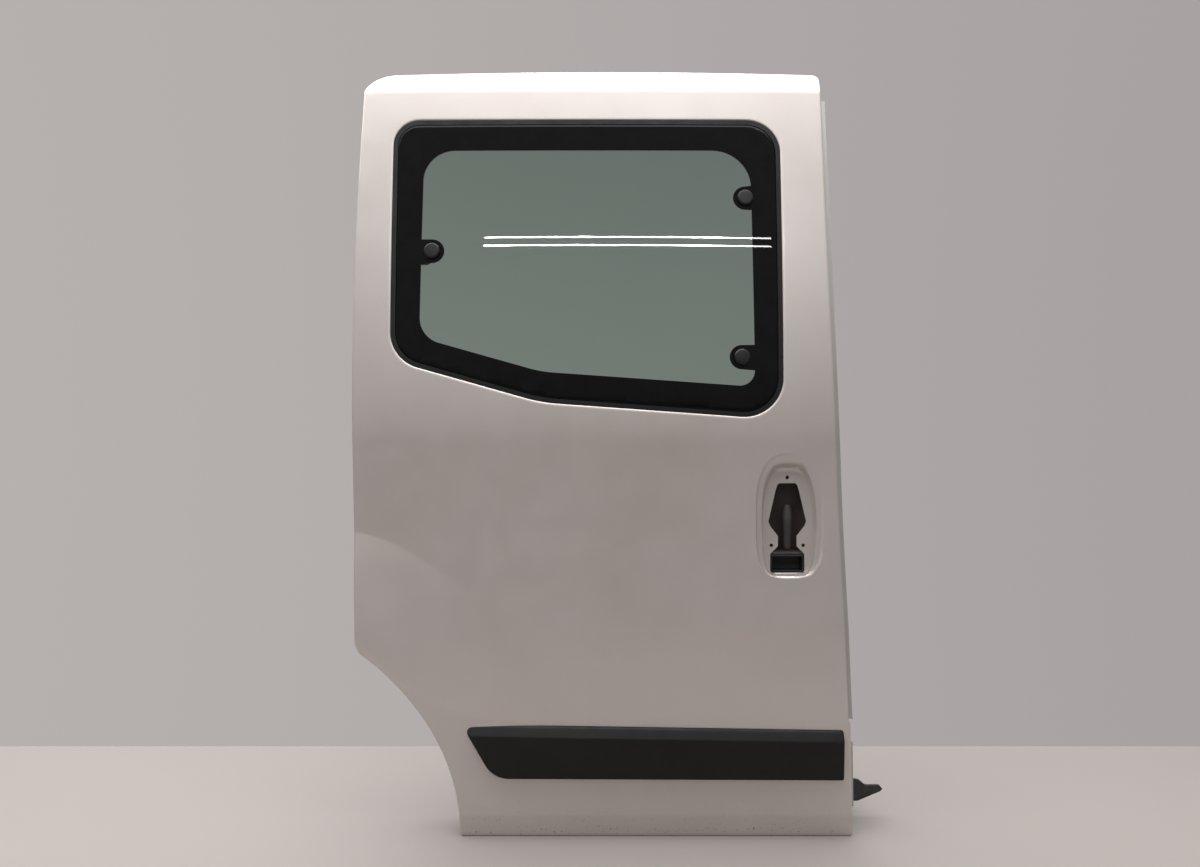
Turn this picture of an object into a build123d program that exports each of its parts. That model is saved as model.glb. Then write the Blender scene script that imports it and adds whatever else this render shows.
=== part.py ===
"""Right-hand sliding side door of a compact van, with its outside handle taken off.

Lengths are millimetres. The door is drawn with x towards the front of the vehicle, y towards the
inside and z up from the lower hem, and is moved at the end so that the centre hinge face is the origin.
"""
import os
from functools import lru_cache
from math import atan, cos, degrees, pi, sin

from build123d import *

# Sheet metal and clearances
SKIN_T = 1.2
PANEL_T = 1.2
FIT = 0.3

# Outline of the door seen from outside
DOOR_HEIGHT = 1230
TOP_CROWN = 6
HEM_FRONT_X = 393.5
STEP_Z = 182
STEP_OUT = 3
FRONT_STEP_X = 384.5
FRONT_MID = (367.5, 640)
FRONT_TOP_X = 361.5
REAR_LOW_X = -376
REAR_FOOT_Z = 332
REAR_MID = (-389, 800)
REAR_TOP_X = -386
FRONT_TOP_R = 10
REAR_TOP_RUN = 51
ARCH_CENTRE = (-570, 3)
ARCH_R = 352
ARCH_CORNER_R = 24
HEM_CORNER_R = 3

# Cross-section of the outer skin: heights, and depths behind the fullest point of the body side
HEM_DEPTH = 24
HEM_CREASE_Z = 34
HEM_CREASE_DEPTH = 14
SILL_MID_Z = 90
SILL_MID_DEPTH = 9.5
SILL_TOP_Z = 185
SILL_TOP_DEPTH = 3.6
WAIST_LINE_Z = 331
WAIST_LINE_DEPTH = 0.3
BELT_Z = 620
BELT_DEPTH = 10
TUMBLEHOME = 72
CAP_HEIGHT = 41
CAP_DEPTH = 30
CAP_BULGE = 2.5
PLAN_CROWN = 5
SECTIONS = 12

# Wheel-arch flare, strongest at the rear edge and fading forwards
FLARE_END_X = -60
FLARE_RISE = 146
FLARE_FOOT_DEPTH = -13
FLARE_DEPTHS = (-9.5, -4.7, 2.3)
FLARE_STEPS = (0.25, 0.5, 0.82)
LOW_CREASE_END_X = -120
LOW_CREASE_RISE = 135
LOW_CREASE_POWER = 2.3

# Window opening, rubber seal and glass
WINDOW_TOP_Z = 1138
WINDOW_REAR_X = -335
WINDOW_FRONT_X = 292
WINDOW_LOW_FRONT = (286, 650)
WINDOW_KNEE = (-92, 677)
WINDOW_LOW_REAR = (-329, 744)
WINDOW_RADII = (42, 55, 62, 260, 60)
REBATE_DEPTH = 12
REBATE_WIDTH = 30
SEAL_WIDTH = 8
SEAL_FOOT = 12
SEAL_SET_BACK = 0.8
GLASS_SET_BACK = 1
GLASS_T = 4
CAP_RADIUS = 12.8
CAP_THICKNESS = 5
CAP_SHAFT_R = 5
FRONT_CAPS = {"upper": (232.4, 1006), "lower": (222.5, 748.5)}
REAR_CAP = (-266.7, 918.5)

# Handle recess
HANDLE_X = 294
HANDLE_Z = 501
DISH_HALF = (52.6, 97)
RING_HALF = (41.5, 88)
FLOOR_HALF = (33, 83)
FLOOR_DROP = 5
FLOOR_TAPER = 0.3
RING_DEPTH = 3
FLOOR_DEPTH = 16
HANDLE_HOLE_SPACING = 50
HANDLE_HOLE_Z = 453.5
HANDLE_HOLE_R = 2.8
TOP_HOLE_Z = 560

# Inner panel
PANEL_INSET = 12
INNER_FACE_Y = 95
SHELF_LOW_Z = 590
SHELF_TOP_Z = 640
SHELF_TOP_Y = 58
FRAME_TOP_Y = 132
LIP_DEPTH = 20
LIP_OUT = 11
LIP_TOP_Z = 1180
LOW_LIP_OUT = 8
LOW_LIP = (40, 145)
ACCESS_HOLES = {"main": (-40, 318, 300, 200, 40), "front": (262, 440, 150, 190, 35)}
PLUG_HOLES = ((60, 120), (-150, 520))
PLUG_HOLE_R = 14

# Black side moulding
MOULD_TOP_REAR_Z = 180
MOULD_TOP_FRONT_Z = 170.5
MOULD_LOW_REAR_Z = 96.5
MOULD_LOW_FRONT_Z = 94
MOULD_REAR_X = -205
MOULD_SLANT = 40
MOULD_FRONT_X = 376.5
MOULD_PROUD = 12
MOULD_BEVEL = 15
MOULD_RADII = (10, 4, 4, 42)

# Hinge, arm and latch hardware
HINGE_PLATE = (72, 84, 5)
HINGE_AT = (-322, 525)
HINGE_HOLES = (44, 54)
BOLT_HOLE_R = 4.3
UPPER_PLATE = (92, 34)
UPPER_AT = (270, 1176)
UPPER_HOLE_SPACING = 56
UPPER_STAND = 6
ARM_T = 5
ARM_NOSE_X = 465
ARM_REAR_X = 262
ARM_TOP_Z = 118
ARM_LOW_Z = 24
ARM_TIP_Z = 44
ARM_RADII = (8, 6, 2, 2, 3, 8, 6, 20, 20, 14)
ARM_SHELF_X = (296, 400)
ARM_SHELF_Z = 42
ARM_REACH = 96
ARM_BOLT_INSET = 16
ARM_BOLT_RUN = 70
ARM_HOLE_R = 5.2
ARM_HOLE_SPACING = 40
BEAM_Z = 290
BEAM_R = 17
BEAM_WALL = 2.2
BEAM_Y = 33
LATCH = (26, 52, 84)
LATCH_Y = 38
FRONT_LATCH_Z = 545
REAR_LATCH_Z = 450
LATCH_FACE = (26, 40)
RELEASE = (62, 14, 96)
RELEASE_Z = 446
ROD_R = 2.5
STOP_R = 13
STOP_HEIGHT = 11
STOPS_AT = ((-345, 390), (344, 240))
HINGE_LEAF_T = 2.5
HINGE_LEG = 34
LATCH_BASE = (40, 66, 3)
LATCH_POST = 12
LATCH_POST_R = 8
LATCH_LEVER_W = 18
HANDLE_UNIT_R = 34
HANDLE_UNIT_Z = (443.5, 556)
TRAY = (25.5, 412, 438)
TRAY_DEPTH = 22

CREASE_Z = DOOR_HEIGHT - CAP_HEIGHT
OVERRUN = 45
FAR = 260


def smooth(value):
    """Ease from 0 to 1 as the value goes from 0 to 1."""
    held = min(max(value, 0), 1)
    return held * held * (3 - 2 * held)


def crown(x, z):
    """Depth added by the slight curve of the body side along the vehicle."""
    half_width = (HEM_FRONT_X - REAR_LOW_X) / 2
    return PLAN_CROWN * (x / half_width) ** 2 * smooth((z - SILL_TOP_Z) / (BELT_Z - SILL_TOP_Z))


def side_depth(x, z):
    """Depth of the body side above the flare."""
    if z < BELT_Z:
        below = (BELT_Z - z) / (BELT_Z - WAIST_LINE_Z)
        depth = BELT_DEPTH - (BELT_DEPTH - WAIST_LINE_DEPTH) * below ** 1.6
    else:
        depth = BELT_DEPTH + TUMBLEHOME * ((z - BELT_Z) / (CREASE_Z - BELT_Z)) ** 1.45
    return depth + crown(x, z)


def flare_share(x):
    """1 at the rear edge, 0 where the flare has run out."""
    return smooth((FLARE_END_X - x) / (FLARE_END_X - REAR_LOW_X + 20))


def upper_crease(x):
    """Height of the crease along the top of the flare."""
    return WAIST_LINE_Z + FLARE_RISE * flare_share(x)


def lower_crease(x):
    """Height of the crease along the foot of the flare."""
    run = max(LOW_CREASE_END_X - x, 0) / (LOW_CREASE_END_X - REAR_LOW_X)
    return SILL_TOP_Z + LOW_CREASE_RISE * min(run, 1.1) ** LOW_CREASE_POWER


def profile_edges(x):
    """The outer skin's section at one station, from below the hem to above the roof edge."""
    def point(z, depth):
        return Vector(x, depth, z)

    low_z = lower_crease(x)
    high_z = upper_crease(x)
    share = flare_share(x)
    foot = SILL_TOP_DEPTH + share * (FLARE_FOOT_DEPTH - SILL_TOP_DEPTH)
    low = point(low_z, foot + crown(x, low_z))
    high = point(high_z, side_depth(x, high_z))
    hem_slope = (HEM_DEPTH - HEM_CREASE_DEPTH) / HEM_CREASE_Z
    hem_start = point(-OVERRUN, HEM_DEPTH + hem_slope * OVERRUN)
    hem_crease = point(HEM_CREASE_Z, HEM_CREASE_DEPTH)
    bulge = [low]
    for fraction, proud in zip(FLARE_STEPS, FLARE_DEPTHS):
        z = low_z + fraction * (high_z - low_z)
        plain = SILL_TOP_DEPTH + fraction * (WAIST_LINE_DEPTH - SILL_TOP_DEPTH)
        bulge.append(point(z, plain + share * (proud - plain) + crown(x, z)))
    bulge.append(high)
    side = [high]
    for z in (high_z + (BELT_Z - high_z) / 3, high_z + (BELT_Z - high_z) * 2 / 3, BELT_Z):
        side.append(point(z, side_depth(x, z)))
    for fraction in (0.2, 0.4, 0.6, 0.8, 1):
        z = BELT_Z + fraction * (CREASE_Z - BELT_Z)
        side.append(point(z, side_depth(x, z)))
    cap_start = side[-1]
    cap_end = cap_start + Vector(0, 1.15 * CAP_DEPTH, 1.15 * CAP_HEIGHT)
    cap_middle = (cap_start + cap_end) / 2 + Vector(0, -CAP_BULGE * 0.8, CAP_BULGE * 0.6)
    return [Line(hem_start, hem_crease), Spline(hem_crease, point(SILL_MID_Z, SILL_MID_DEPTH), low),
            Spline(*bulge), Spline(*side), ThreePointArc(cap_start, cap_middle, cap_end)]


@lru_cache(maxsize=None)
def stations():
    """The skin's sections, evenly spaced along the door."""
    rear = REAR_LOW_X - OVERRUN
    front = HEM_FRONT_X + OVERRUN
    return [profile_edges(rear + (front - rear) * step / SECTIONS) for step in range(SECTIONS + 1)]


@lru_cache(maxsize=None)
def layer(near, far):
    """Everything between two depths behind the outer surface."""
    wires = []
    for edges in stations():
        front = [edge.moved(Location((0, near, 0))) for edge in edges]
        back = [edge.moved(Location((0, far, 0))) for edge in reversed(edges)]
        top = Line(front[-1] @ 1, back[0] @ 1)
        bottom = Line(back[-1] @ 0, front[0] @ 0)
        wires.append(Wire(front + [top] + back + [bottom]))
    return Solid.make_loft(wires)


def prism(sketch, start=-60, end=FAR):
    """Push a drawing made in x and z straight through the door."""
    return extrude(Plane.XZ.offset(-start) * sketch, amount=end - start, dir=(0, 1, 0))


def nearest(sketch, x, z):
    """The corner of a drawing closest to a place."""
    return min(sketch.vertices(), key=lambda corner: (corner.X - x) ** 2 + (corner.Y - z) ** 2)


@lru_cache(maxsize=None)
def door_outline(grow=0):
    """The door's outline, or the same outline moved in or out all round."""
    corner_z = DOOR_HEIGHT - TOP_CROWN
    low_front = (HEM_FRONT_X + grow, -grow)
    step_low = (FRONT_STEP_X + STEP_OUT + grow, STEP_Z - 4)
    step_high = (FRONT_STEP_X + grow, STEP_Z + 4)
    top_front = (FRONT_TOP_X + grow, corner_z + grow)
    top_rear = (REAR_TOP_X + REAR_TOP_RUN, corner_z + grow)
    crease_rear = (REAR_TOP_X - grow, CREASE_Z)
    rear_foot = (REAR_LOW_X - grow, REAR_FOOT_Z)
    low_rear = (REAR_LOW_X - grow, -grow)
    edges = [Line(low_rear, low_front), Line(low_front, step_low), Line(step_low, step_high),
             ThreePointArc(step_high, (FRONT_MID[0] + grow, FRONT_MID[1]), top_front),
             ThreePointArc(top_front, (0, DOOR_HEIGHT + grow), top_rear),
             TangentArc(top_rear, crease_rear, tangent=(-1, 0)),
             ThreePointArc(crease_rear, (REAR_MID[0] - grow, REAR_MID[1]), rear_foot),
             Line(rear_foot, low_rear)]
    outline = make_face(edges) - Pos(*ARCH_CENTRE) * Circle(ARCH_R - grow)
    arch_rise = (ARCH_R ** 2 - (REAR_LOW_X - ARCH_CENTRE[0]) ** 2) ** 0.5
    outline = fillet(nearest(outline, REAR_LOW_X - grow, ARCH_CENTRE[1] + arch_rise), ARCH_CORNER_R)
    outline = fillet(nearest(outline, *top_front), FRONT_TOP_R)
    outline = fillet(nearest(outline, *low_front), HEM_CORNER_R)
    return fillet(nearest(outline, ARCH_CENTRE[0] + ARCH_R, -grow), HEM_CORNER_R)


@lru_cache(maxsize=None)
def window_outline(inset=0):
    """The window opening in the skin, or the same shape moved inwards."""
    points = [(WINDOW_REAR_X, WINDOW_TOP_Z), (WINDOW_FRONT_X, WINDOW_TOP_Z), WINDOW_LOW_FRONT,
              WINDOW_KNEE, WINDOW_LOW_REAR]
    outline = make_face(FilletPolyline(*points, radius=WINDOW_RADII, close=True))
    if inset == 0:
        return outline
    return offset(outline, amount=-inset)


def ring(outer, inner):
    """The band between two drawings."""
    return prism(outer) - prism(inner)


def slab(x, y, z):
    """A block given by its ranges along the three axes."""
    size = [high - low for low, high in (x, y, z)]
    return Pos(*[(low + high) / 2 for low, high in (x, y, z)]) * Box(*size)


def oval(half, taper=0, drop=0, grow=0):
    """The rounded outline of the handle recess about its centre."""
    points = []
    for turn in range(16):
        angle = 2 * pi * turn / 16
        across = abs(cos(angle)) ** 0.78 * (1 if cos(angle) >= 0 else -1)
        up = abs(sin(angle)) ** 0.78 * (1 if sin(angle) >= 0 else -1)
        points.append((HANDLE_X + (half[0] + grow) * across * (1 - taper * up),
                       HANDLE_Z - drop + (half[1] + grow) * up))
    return make_face(Spline(*points, periodic=True))


HANDLE_Y = side_depth(HANDLE_X, HANDLE_Z)
HANDLE_FLOOR_Y = HANDLE_Y + FLOOR_DEPTH


def dish(grow):
    """The hollow of the handle recess; grown, it is the hollow of the sheet behind it."""
    outer = (2 * DISH_HALF[0] - RING_HALF[0], 2 * DISH_HALF[1] - RING_HALF[1])
    sections = [Plane.XZ.offset(RING_DEPTH - HANDLE_Y - grow) * oval(outer, grow=grow),
                Plane.XZ.offset(-RING_DEPTH - HANDLE_Y - grow) * oval(RING_HALF, grow=grow),
                Plane.XZ.offset(-HANDLE_FLOOR_Y - grow) * oval(FLOOR_HALF, FLOOR_TAPER, FLOOR_DROP, grow)]
    return loft(sections, ruled=True)


def handle_cutout():
    """The spade-shaped hole that the handle's lever passes through."""
    half = [(12, 551), (17, 543), (29.7, 491), (27, 484),
            (14.7, 468), (14.7, 452), (26.8, 440), (26.8, 410.5)]
    points = [(HANDLE_X - x, z) for x, z in half] + [(HANDLE_X + x, z) for x, z in reversed(half)]
    radii = [4, 10, 3, 3, 3, 3, 3, 4]
    return make_face(FilletPolyline(*points, radius=radii + radii[::-1], close=True))


def glass_place(x, z):
    """A place on the outer face of the glass, pointing straight out of it."""
    lean = (side_depth(x, z + 5) - side_depth(x, z - 5)) / 10
    return Pos(x, side_depth(x, z) + GLASS_SET_BACK, z) * Rot(90 - degrees(atan(lean)), 0, 0)


def inner_face_y(z):
    """Depth of the upper inner face at a height."""
    return SHELF_TOP_Y + (FRAME_TOP_Y - SHELF_TOP_Y) * (z - SHELF_TOP_Z) / (DOOR_HEIGHT - SHELF_TOP_Z)


@lru_cache(maxsize=None)
def outboard_of_inner_face(back=0):
    """Everything on the outer side of the inner panel's face."""
    top_z = DOOR_HEIGHT + OVERRUN
    points = [(-100, -OVERRUN), (INNER_FACE_Y - back, -OVERRUN), (INNER_FACE_Y - back, SHELF_LOW_Z),
              (SHELF_TOP_Y - back, SHELF_TOP_Z), (inner_face_y(top_z) - back, top_z), (-100, top_z)]
    side = Plane.YZ.offset(REAR_LOW_X - 2 * OVERRUN) * make_face(Polyline(*points, close=True))
    return extrude(side, amount=HEM_FRONT_X - REAR_LOW_X + 4 * OVERRUN, dir=(1, 0, 0))


def make_outer_skin():
    opening = prism(window_outline())
    rim = prism(offset(window_outline(), amount=SKIN_T))
    aperture = prism(window_outline(REBATE_WIDTH))
    sheet = layer(0, SKIN_T) & prism(door_outline())
    sheet -= opening
    sheet -= dish(0)
    wall = (rim - opening) & layer(0, REBATE_DEPTH + SKIN_T)
    floor = (rim - aperture) & layer(REBATE_DEPTH, REBATE_DEPTH + SKIN_T)
    recess = (dish(SKIN_T) - dish(0)) & layer(0, FAR)
    skin = sheet + wall + floor + recess
    skin -= prism(handle_cutout())
    for x in (HANDLE_X - HANDLE_HOLE_SPACING / 2, HANDLE_X + HANDLE_HOLE_SPACING / 2):
        skin -= prism(Pos(x, HANDLE_HOLE_Z) * Circle(HANDLE_HOLE_R))
    return skin - prism(Pos(HANDLE_X, TOP_HOLE_Z) * Circle(HANDLE_HOLE_R))


def make_inner_panel():
    behind = SKIN_T + FIT
    pan = prism(door_outline(-PANEL_INSET)) & layer(behind, FAR) & outboard_of_inner_face()
    pan -= prism(door_outline(-PANEL_INSET - PANEL_T)) & outboard_of_inner_face(PANEL_T)
    flange = ring(door_outline(-1), door_outline(-PANEL_INSET - PANEL_T)) & layer(behind, behind + PANEL_T)
    aperture = window_outline(REBATE_WIDTH)
    tunnel = ring(offset(aperture, amount=PANEL_T), aperture)
    tunnel = tunnel & layer(REBATE_DEPTH + SKIN_T + FIT, FAR) & outboard_of_inner_face()
    panel = pan + flange + tunnel
    panel -= prism(aperture, start=REBATE_DEPTH)
    for x, z, width, height, radius in ACCESS_HOLES.values():
        panel -= prism(Pos(x, z) * RectangleRounded(width, height, radius), start=INNER_FACE_Y - 10)
    for x, z in PLUG_HOLES:
        panel -= prism(Pos(x, z) * Circle(PLUG_HOLE_R), start=INNER_FACE_Y - 10)
    for x, z in hinge_holes() + arm_bolts():
        panel -= prism(Pos(x, z) * Circle(BOLT_HOLE_R), start=INNER_FACE_Y - 10)
    for x in upper_holes():
        panel -= prism(Pos(x, UPPER_AT[1]) * Circle(BOLT_HOLE_R), start=INNER_FACE_Y)
    face_y = LATCH_Y + LATCH[1] / 2
    for x, z in ((FRONT_LATCH_X, FRONT_LATCH_Z), (REAR_LATCH_X, REAR_LATCH_Z)):
        panel -= Pos(x, face_y, z) * Box(20, *LATCH_FACE)
    return panel


def make_front_lip(low, high, out):
    """Strip on the inner panel's front wall that shows past the skin."""
    room = Pos(HEM_FRONT_X, (low + high) / 2) * RectangleRounded(120, high - low, 8)
    strip = prism(door_outline(out) & room) - prism(door_outline(-PANEL_INSET + FIT))
    return strip & layer(LIP_DEPTH, LIP_DEPTH + PANEL_T)


def hinge_holes():
    """Where the four centre hinge bolts go through."""
    return [(HINGE_AT[0] + side * HINGE_HOLES[0] / 2, HINGE_AT[1] + end * HINGE_HOLES[1] / 2)
            for side in (-1, 1) for end in (-1, 1)]


def make_glass():
    glass = layer(GLASS_SET_BACK, GLASS_SET_BACK + GLASS_T) & prism(window_outline(SEAL_WIDTH))
    for x, z in list(FRONT_CAPS.values()) + [REAR_CAP]:
        glass -= glass_place(x, z) * Cylinder(CAP_SHAFT_R + FIT, 6 * GLASS_T)
    return glass


def make_window_seal():
    outer = window_outline(FIT)
    floor = REBATE_DEPTH - FIT
    lip = ring(outer, window_outline(SEAL_WIDTH - FIT)) & layer(SEAL_SET_BACK, floor)
    foot = ring(outer, window_outline(SEAL_WIDTH + SEAL_FOOT))
    return lip + (foot & layer(GLASS_SET_BACK + GLASS_T + FIT, floor))


def make_cap(x, z):
    head = Pos(0, 0, FIT + CAP_THICKNESS / 2) * Cylinder(CAP_RADIUS, CAP_THICKNESS)
    head = chamfer(head.faces().sort_by(Axis.Z)[-1].edges(), CAP_THICKNESS * 0.4)
    shaft = Pos(0, 0, FIT) * Cylinder(CAP_SHAFT_R, 14, align=(Align.CENTER, Align.CENTER, Align.MAX))
    return glass_place(x, z) * (head + shaft)


def make_window_hinge(x, z):
    """Leaf behind the glass with a leg along the front of the window frame."""
    leaf_top = -GLASS_T - 2 * FIT
    leaf = slab((-15, 60), (-14, 14), (leaf_top - HINGE_LEAF_T, leaf_top))
    lean = (WINDOW_FRONT_X - WINDOW_LOW_FRONT[0]) / (WINDOW_TOP_Z - WINDOW_LOW_FRONT[1])
    leg_x = WINDOW_FRONT_X - REBATE_WIDTH - lean * (WINDOW_TOP_Z - z) - x
    leg = slab((leg_x - HINGE_LEAF_T - FIT, 60), (-14, 14), (leaf_top - HINGE_LEG, leaf_top))
    hinge = glass_place(x, z) * (leaf + leg - Cylinder(CAP_SHAFT_R + FIT, 80))
    return hinge & prism(window_outline(REBATE_WIDTH + FIT))


def on_frame(x, z):
    """A place on the upper inner face, pointing into the vehicle."""
    lean = (FRAME_TOP_Y - SHELF_TOP_Y) / (DOOR_HEIGHT - SHELF_TOP_Z)
    return Pos(x, inner_face_y(z), z) * Rot(-90 - degrees(atan(lean)), 0, 0)


def make_latch_base():
    x = WINDOW_REAR_X + REBATE_WIDTH - LATCH_BASE[0] / 2 - 6
    plate = Pos(0, 0, FIT + LATCH_BASE[2] / 2) * Box(*LATCH_BASE)
    plate = fillet(plate.edges().filter_by(Axis.Z), 6)
    post = Cylinder(LATCH_POST_R, LATCH_POST, align=(Align.CENTER, Align.CENTER, Align.MIN))
    post = Pos(0, 0, FIT + LATCH_BASE[2] / 2) * post
    return on_frame(x, REAR_CAP[1]) * (plate + post)


def make_latch_lever():
    x = WINDOW_REAR_X + REBATE_WIDTH - LATCH_BASE[0] / 2 - 6
    lean = (FRAME_TOP_Y - SHELF_TOP_Y) / (DOOR_HEIGHT - SHELF_TOP_Z)
    start = inner_face_y(REAR_CAP[1]) + LATCH_BASE[2] / 2 + LATCH_POST + LATCH_POST_R * lean + 2 * FIT
    half = LATCH_LEVER_W / 2
    foot = side_depth(REAR_CAP[0], REAR_CAP[1] + half) + GLASS_SET_BACK + GLASS_T + 2 * FIT
    turn = WINDOW_REAR_X + REBATE_WIDTH + 8
    cap_x = REAR_CAP[0]
    points = [(x - 11, start), (turn, start), (cap_x - 9, foot + 12), (cap_x - 9, foot), (cap_x + 13, foot),
              (cap_x + 13, foot + 8), (cap_x + 4, foot + 16), (turn + 10, start + 7), (x - 11, start + 7)]
    side = Pos(0, 0, REAR_CAP[1] - half) * make_face(FilletPolyline(*points, radius=3, close=True))
    lever = extrude(side, amount=LATCH_LEVER_W)
    return lever - glass_place(*REAR_CAP) * Cylinder(CAP_SHAFT_R + FIT, 40)


def make_moulding():
    rear = MOULD_REAR_X
    points = [(rear, MOULD_TOP_REAR_Z), (MOULD_FRONT_X, MOULD_TOP_FRONT_Z),
              (MOULD_FRONT_X, MOULD_LOW_FRONT_Z), (rear + MOULD_SLANT, MOULD_LOW_REAR_Z)]
    outline = make_face(FilletPolyline(*points, radius=MOULD_RADII, close=True))
    strip = prism(outline) & layer(-MOULD_PROUD, -FIT)
    run = Vector(MOULD_FRONT_X - rear, 0, MOULD_TOP_FRONT_Z - MOULD_TOP_REAR_Z)
    start = Vector(rear, SILL_TOP_DEPTH - 2, MOULD_TOP_REAR_Z) - run * 0.1
    slope = Vector(0, 2 - MOULD_PROUD, -MOULD_BEVEL)
    corners = [start - slope, start + slope * 3, start + Vector(0, -3 * MOULD_PROUD, MOULD_BEVEL)]
    wedge = Solid.extrude(Face(Wire(Polyline(*corners, close=True).edges())), run * 1.2)
    return strip - wedge


def make_handle_unit():
    """Curved backing of the missing handle, seen through the cut-out."""
    back = HANDLE_FLOOR_Y + SKIN_T + FIT
    low, high = HANDLE_UNIT_Z
    tube = Pos(HANDLE_X, back, (low + high) / 2) * (Cylinder(HANDLE_UNIT_R, high - low)
                                                   - Cylinder(HANDLE_UNIT_R - 2, high - low - 4))
    return tube & slab((0, 600), (back, FAR), (low, high))


def make_handle_tray():
    """Black box in the foot of the cut-out, open towards the outside."""
    half, low, high = TRAY
    back = HANDLE_FLOOR_Y + SKIN_T + FIT
    x = (HANDLE_X - half, HANDLE_X + half)
    tray = slab(x, (HANDLE_FLOOR_Y - 1, back + TRAY_DEPTH), (low, high))
    tray -= slab((x[0] + 2, x[1] - 2), (0, back + TRAY_DEPTH - 2), (low + 2, high - 2))
    flange = slab((x[0] - 6, x[1] + 6), (back, back + 2), (low - 5, high + 3))
    return tray + (flange - slab(x, (0, FAR), (low, high)))


def make_beam():
    length = HEM_FRONT_X - REAR_LOW_X
    tube = Cylinder(BEAM_R, length) - Cylinder(BEAM_R - BEAM_WALL, length)
    beam = Pos((HEM_FRONT_X + REAR_LOW_X) / 2, BEAM_Y, BEAM_Z) * Rot(0, 90, 0) * tube
    return beam & prism(door_outline(-PANEL_INSET - PANEL_T - FIT))


def make_latch(x, z):
    """Closed lock body against an end wall; its face shows through a hole in the wall."""
    width, depth, height = LATCH
    body = slab((x - width, x + width), (LATCH_Y, LATCH_Y + depth), (z - height / 2, z + height / 2))
    body &= prism(door_outline(-PANEL_INSET - PANEL_T - FIT))
    return body


def make_release_unit():
    back = HANDLE_FLOOR_Y + SKIN_T + FIT + HANDLE_UNIT_R + FIT
    width, depth, height = RELEASE
    x = (HANDLE_X - width / 2, HANDLE_X + width / 2)
    body = slab(x, (back, back + depth), (RELEASE_Z, RELEASE_Z + height))
    return fillet(body.edges().filter_by(Axis.Y), 8)


def make_rod():
    y = HANDLE_FLOOR_Y + SKIN_T + 2 * FIT + HANDLE_UNIT_R + RELEASE[1] / 2
    start = REAR_LATCH_X + LATCH[0] + FIT
    end = HANDLE_X - RELEASE[0] / 2 - FIT
    return Pos((start + end) / 2, y, REAR_LATCH_Z) * Rot(0, 90, 0) * Cylinder(ROD_R, end - start)


def make_hinge_plate():
    plate = Pos(HINGE_AT[0], INNER_FACE_Y + HINGE_PLATE[2] / 2, HINGE_AT[1])
    plate = plate * Box(HINGE_PLATE[0], HINGE_PLATE[2], HINGE_PLATE[1])
    plate = fillet(plate.edges().filter_by(Axis.Y), 8)
    for x, z in hinge_holes():
        plate -= prism(Pos(x, z) * Circle(BOLT_HOLE_R))
    return plate


def make_upper_plate():
    low, high = UPPER_AT[1] - UPPER_PLATE[1] / 2, UPPER_AT[1] + UPPER_PLATE[1] / 2
    flat = inner_face_y(high) + UPPER_STAND
    points = [(inner_face_y(low) + FIT, low), (flat, low), (flat, high), (inner_face_y(high) + FIT, high)]
    side = Plane.YZ.offset(UPPER_AT[0] - UPPER_PLATE[0] / 2) * make_face(Polyline(*points, close=True))
    plate = extrude(side, amount=UPPER_PLATE[0], dir=(1, 0, 0))
    for x in upper_holes():
        plate -= prism(Pos(x, UPPER_AT[1]) * Circle(BOLT_HOLE_R))
    return plate


def upper_holes():
    """Where the two upper arm bolts go through."""
    return [UPPER_AT[0] - UPPER_HOLE_SPACING / 2, UPPER_AT[0] + UPPER_HOLE_SPACING / 2]


def make_lower_arm():
    """Plate on the inner face with a nose past the front edge and a shelf for the roller carriage."""
    nose = ARM_NOSE_X
    points = [(ARM_REAR_X, ARM_LOW_Z), (nose - 41, ARM_LOW_Z), (nose - 3, ARM_TIP_Z - 4), (nose, ARM_TIP_Z),
              (nose - 5, ARM_TIP_Z + 6), (nose - 29, ARM_TIP_Z + 6), (nose - 39, ARM_TIP_Z + 15),
              (nose - 54, ARM_TIP_Z + 17), (nose - 94, ARM_TOP_Z), (ARM_REAR_X, ARM_TOP_Z)]
    outline = make_face(FilletPolyline(*points, radius=ARM_RADII, close=True))
    arm = prism(outline, INNER_FACE_Y, INNER_FACE_Y + ARM_T)
    end = INNER_FACE_Y + ARM_T + ARM_REACH
    shelf = slab(ARM_SHELF_X, (INNER_FACE_Y, end), (ARM_SHELF_Z, ARM_SHELF_Z + ARM_T))
    shelf = fillet(shelf.edges().filter_by(Axis.Z).sort_by(Axis.Y)[-2:], 22)
    for x in arm_holes():
        shelf -= Pos(x, end - ARM_REACH / 4, ARM_SHELF_Z) * Cylinder(ARM_HOLE_R, 4 * ARM_T)
    arm += shelf
    face = INNER_FACE_Y + ARM_T
    rib = [(face - 1, ARM_SHELF_Z + 1), (face + ARM_REACH / 2, ARM_SHELF_Z + 1), (face - 1, ARM_TOP_Z - 16)]
    for x in (ARM_SHELF_X[0] + 4, ARM_SHELF_X[1] - 30):
        side = Plane.YZ.offset(x) * make_face(Polyline(*rib, close=True))
        arm += extrude(side, amount=ARM_T, dir=(1, 0, 0))
    for x, z in arm_bolts():
        arm -= prism(Pos(x, z) * Circle(BOLT_HOLE_R))
    return arm


def arm_holes():
    """Where the roller carriage bolts to the shelf."""
    middle = sum(ARM_SHELF_X) / 2
    return [middle - ARM_HOLE_SPACING / 2, middle + ARM_HOLE_SPACING / 2]


def arm_bolts():
    """Where the lower arm is bolted to the inner panel."""
    rear = ARM_REAR_X + ARM_BOLT_INSET
    high = ARM_TOP_Z - ARM_BOLT_INSET
    return [(rear, high), (rear, ARM_LOW_Z + ARM_BOLT_INSET), (rear + ARM_BOLT_RUN, high)]


def make_stop(x, z):
    stop = Pos(x, INNER_FACE_Y + STOP_HEIGHT / 2, z) * Rot(90, 0, 0) * Cylinder(STOP_R, STOP_HEIGHT)
    return chamfer(stop.faces().sort_by(Axis.Y)[-1].edges(), 4)


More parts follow.
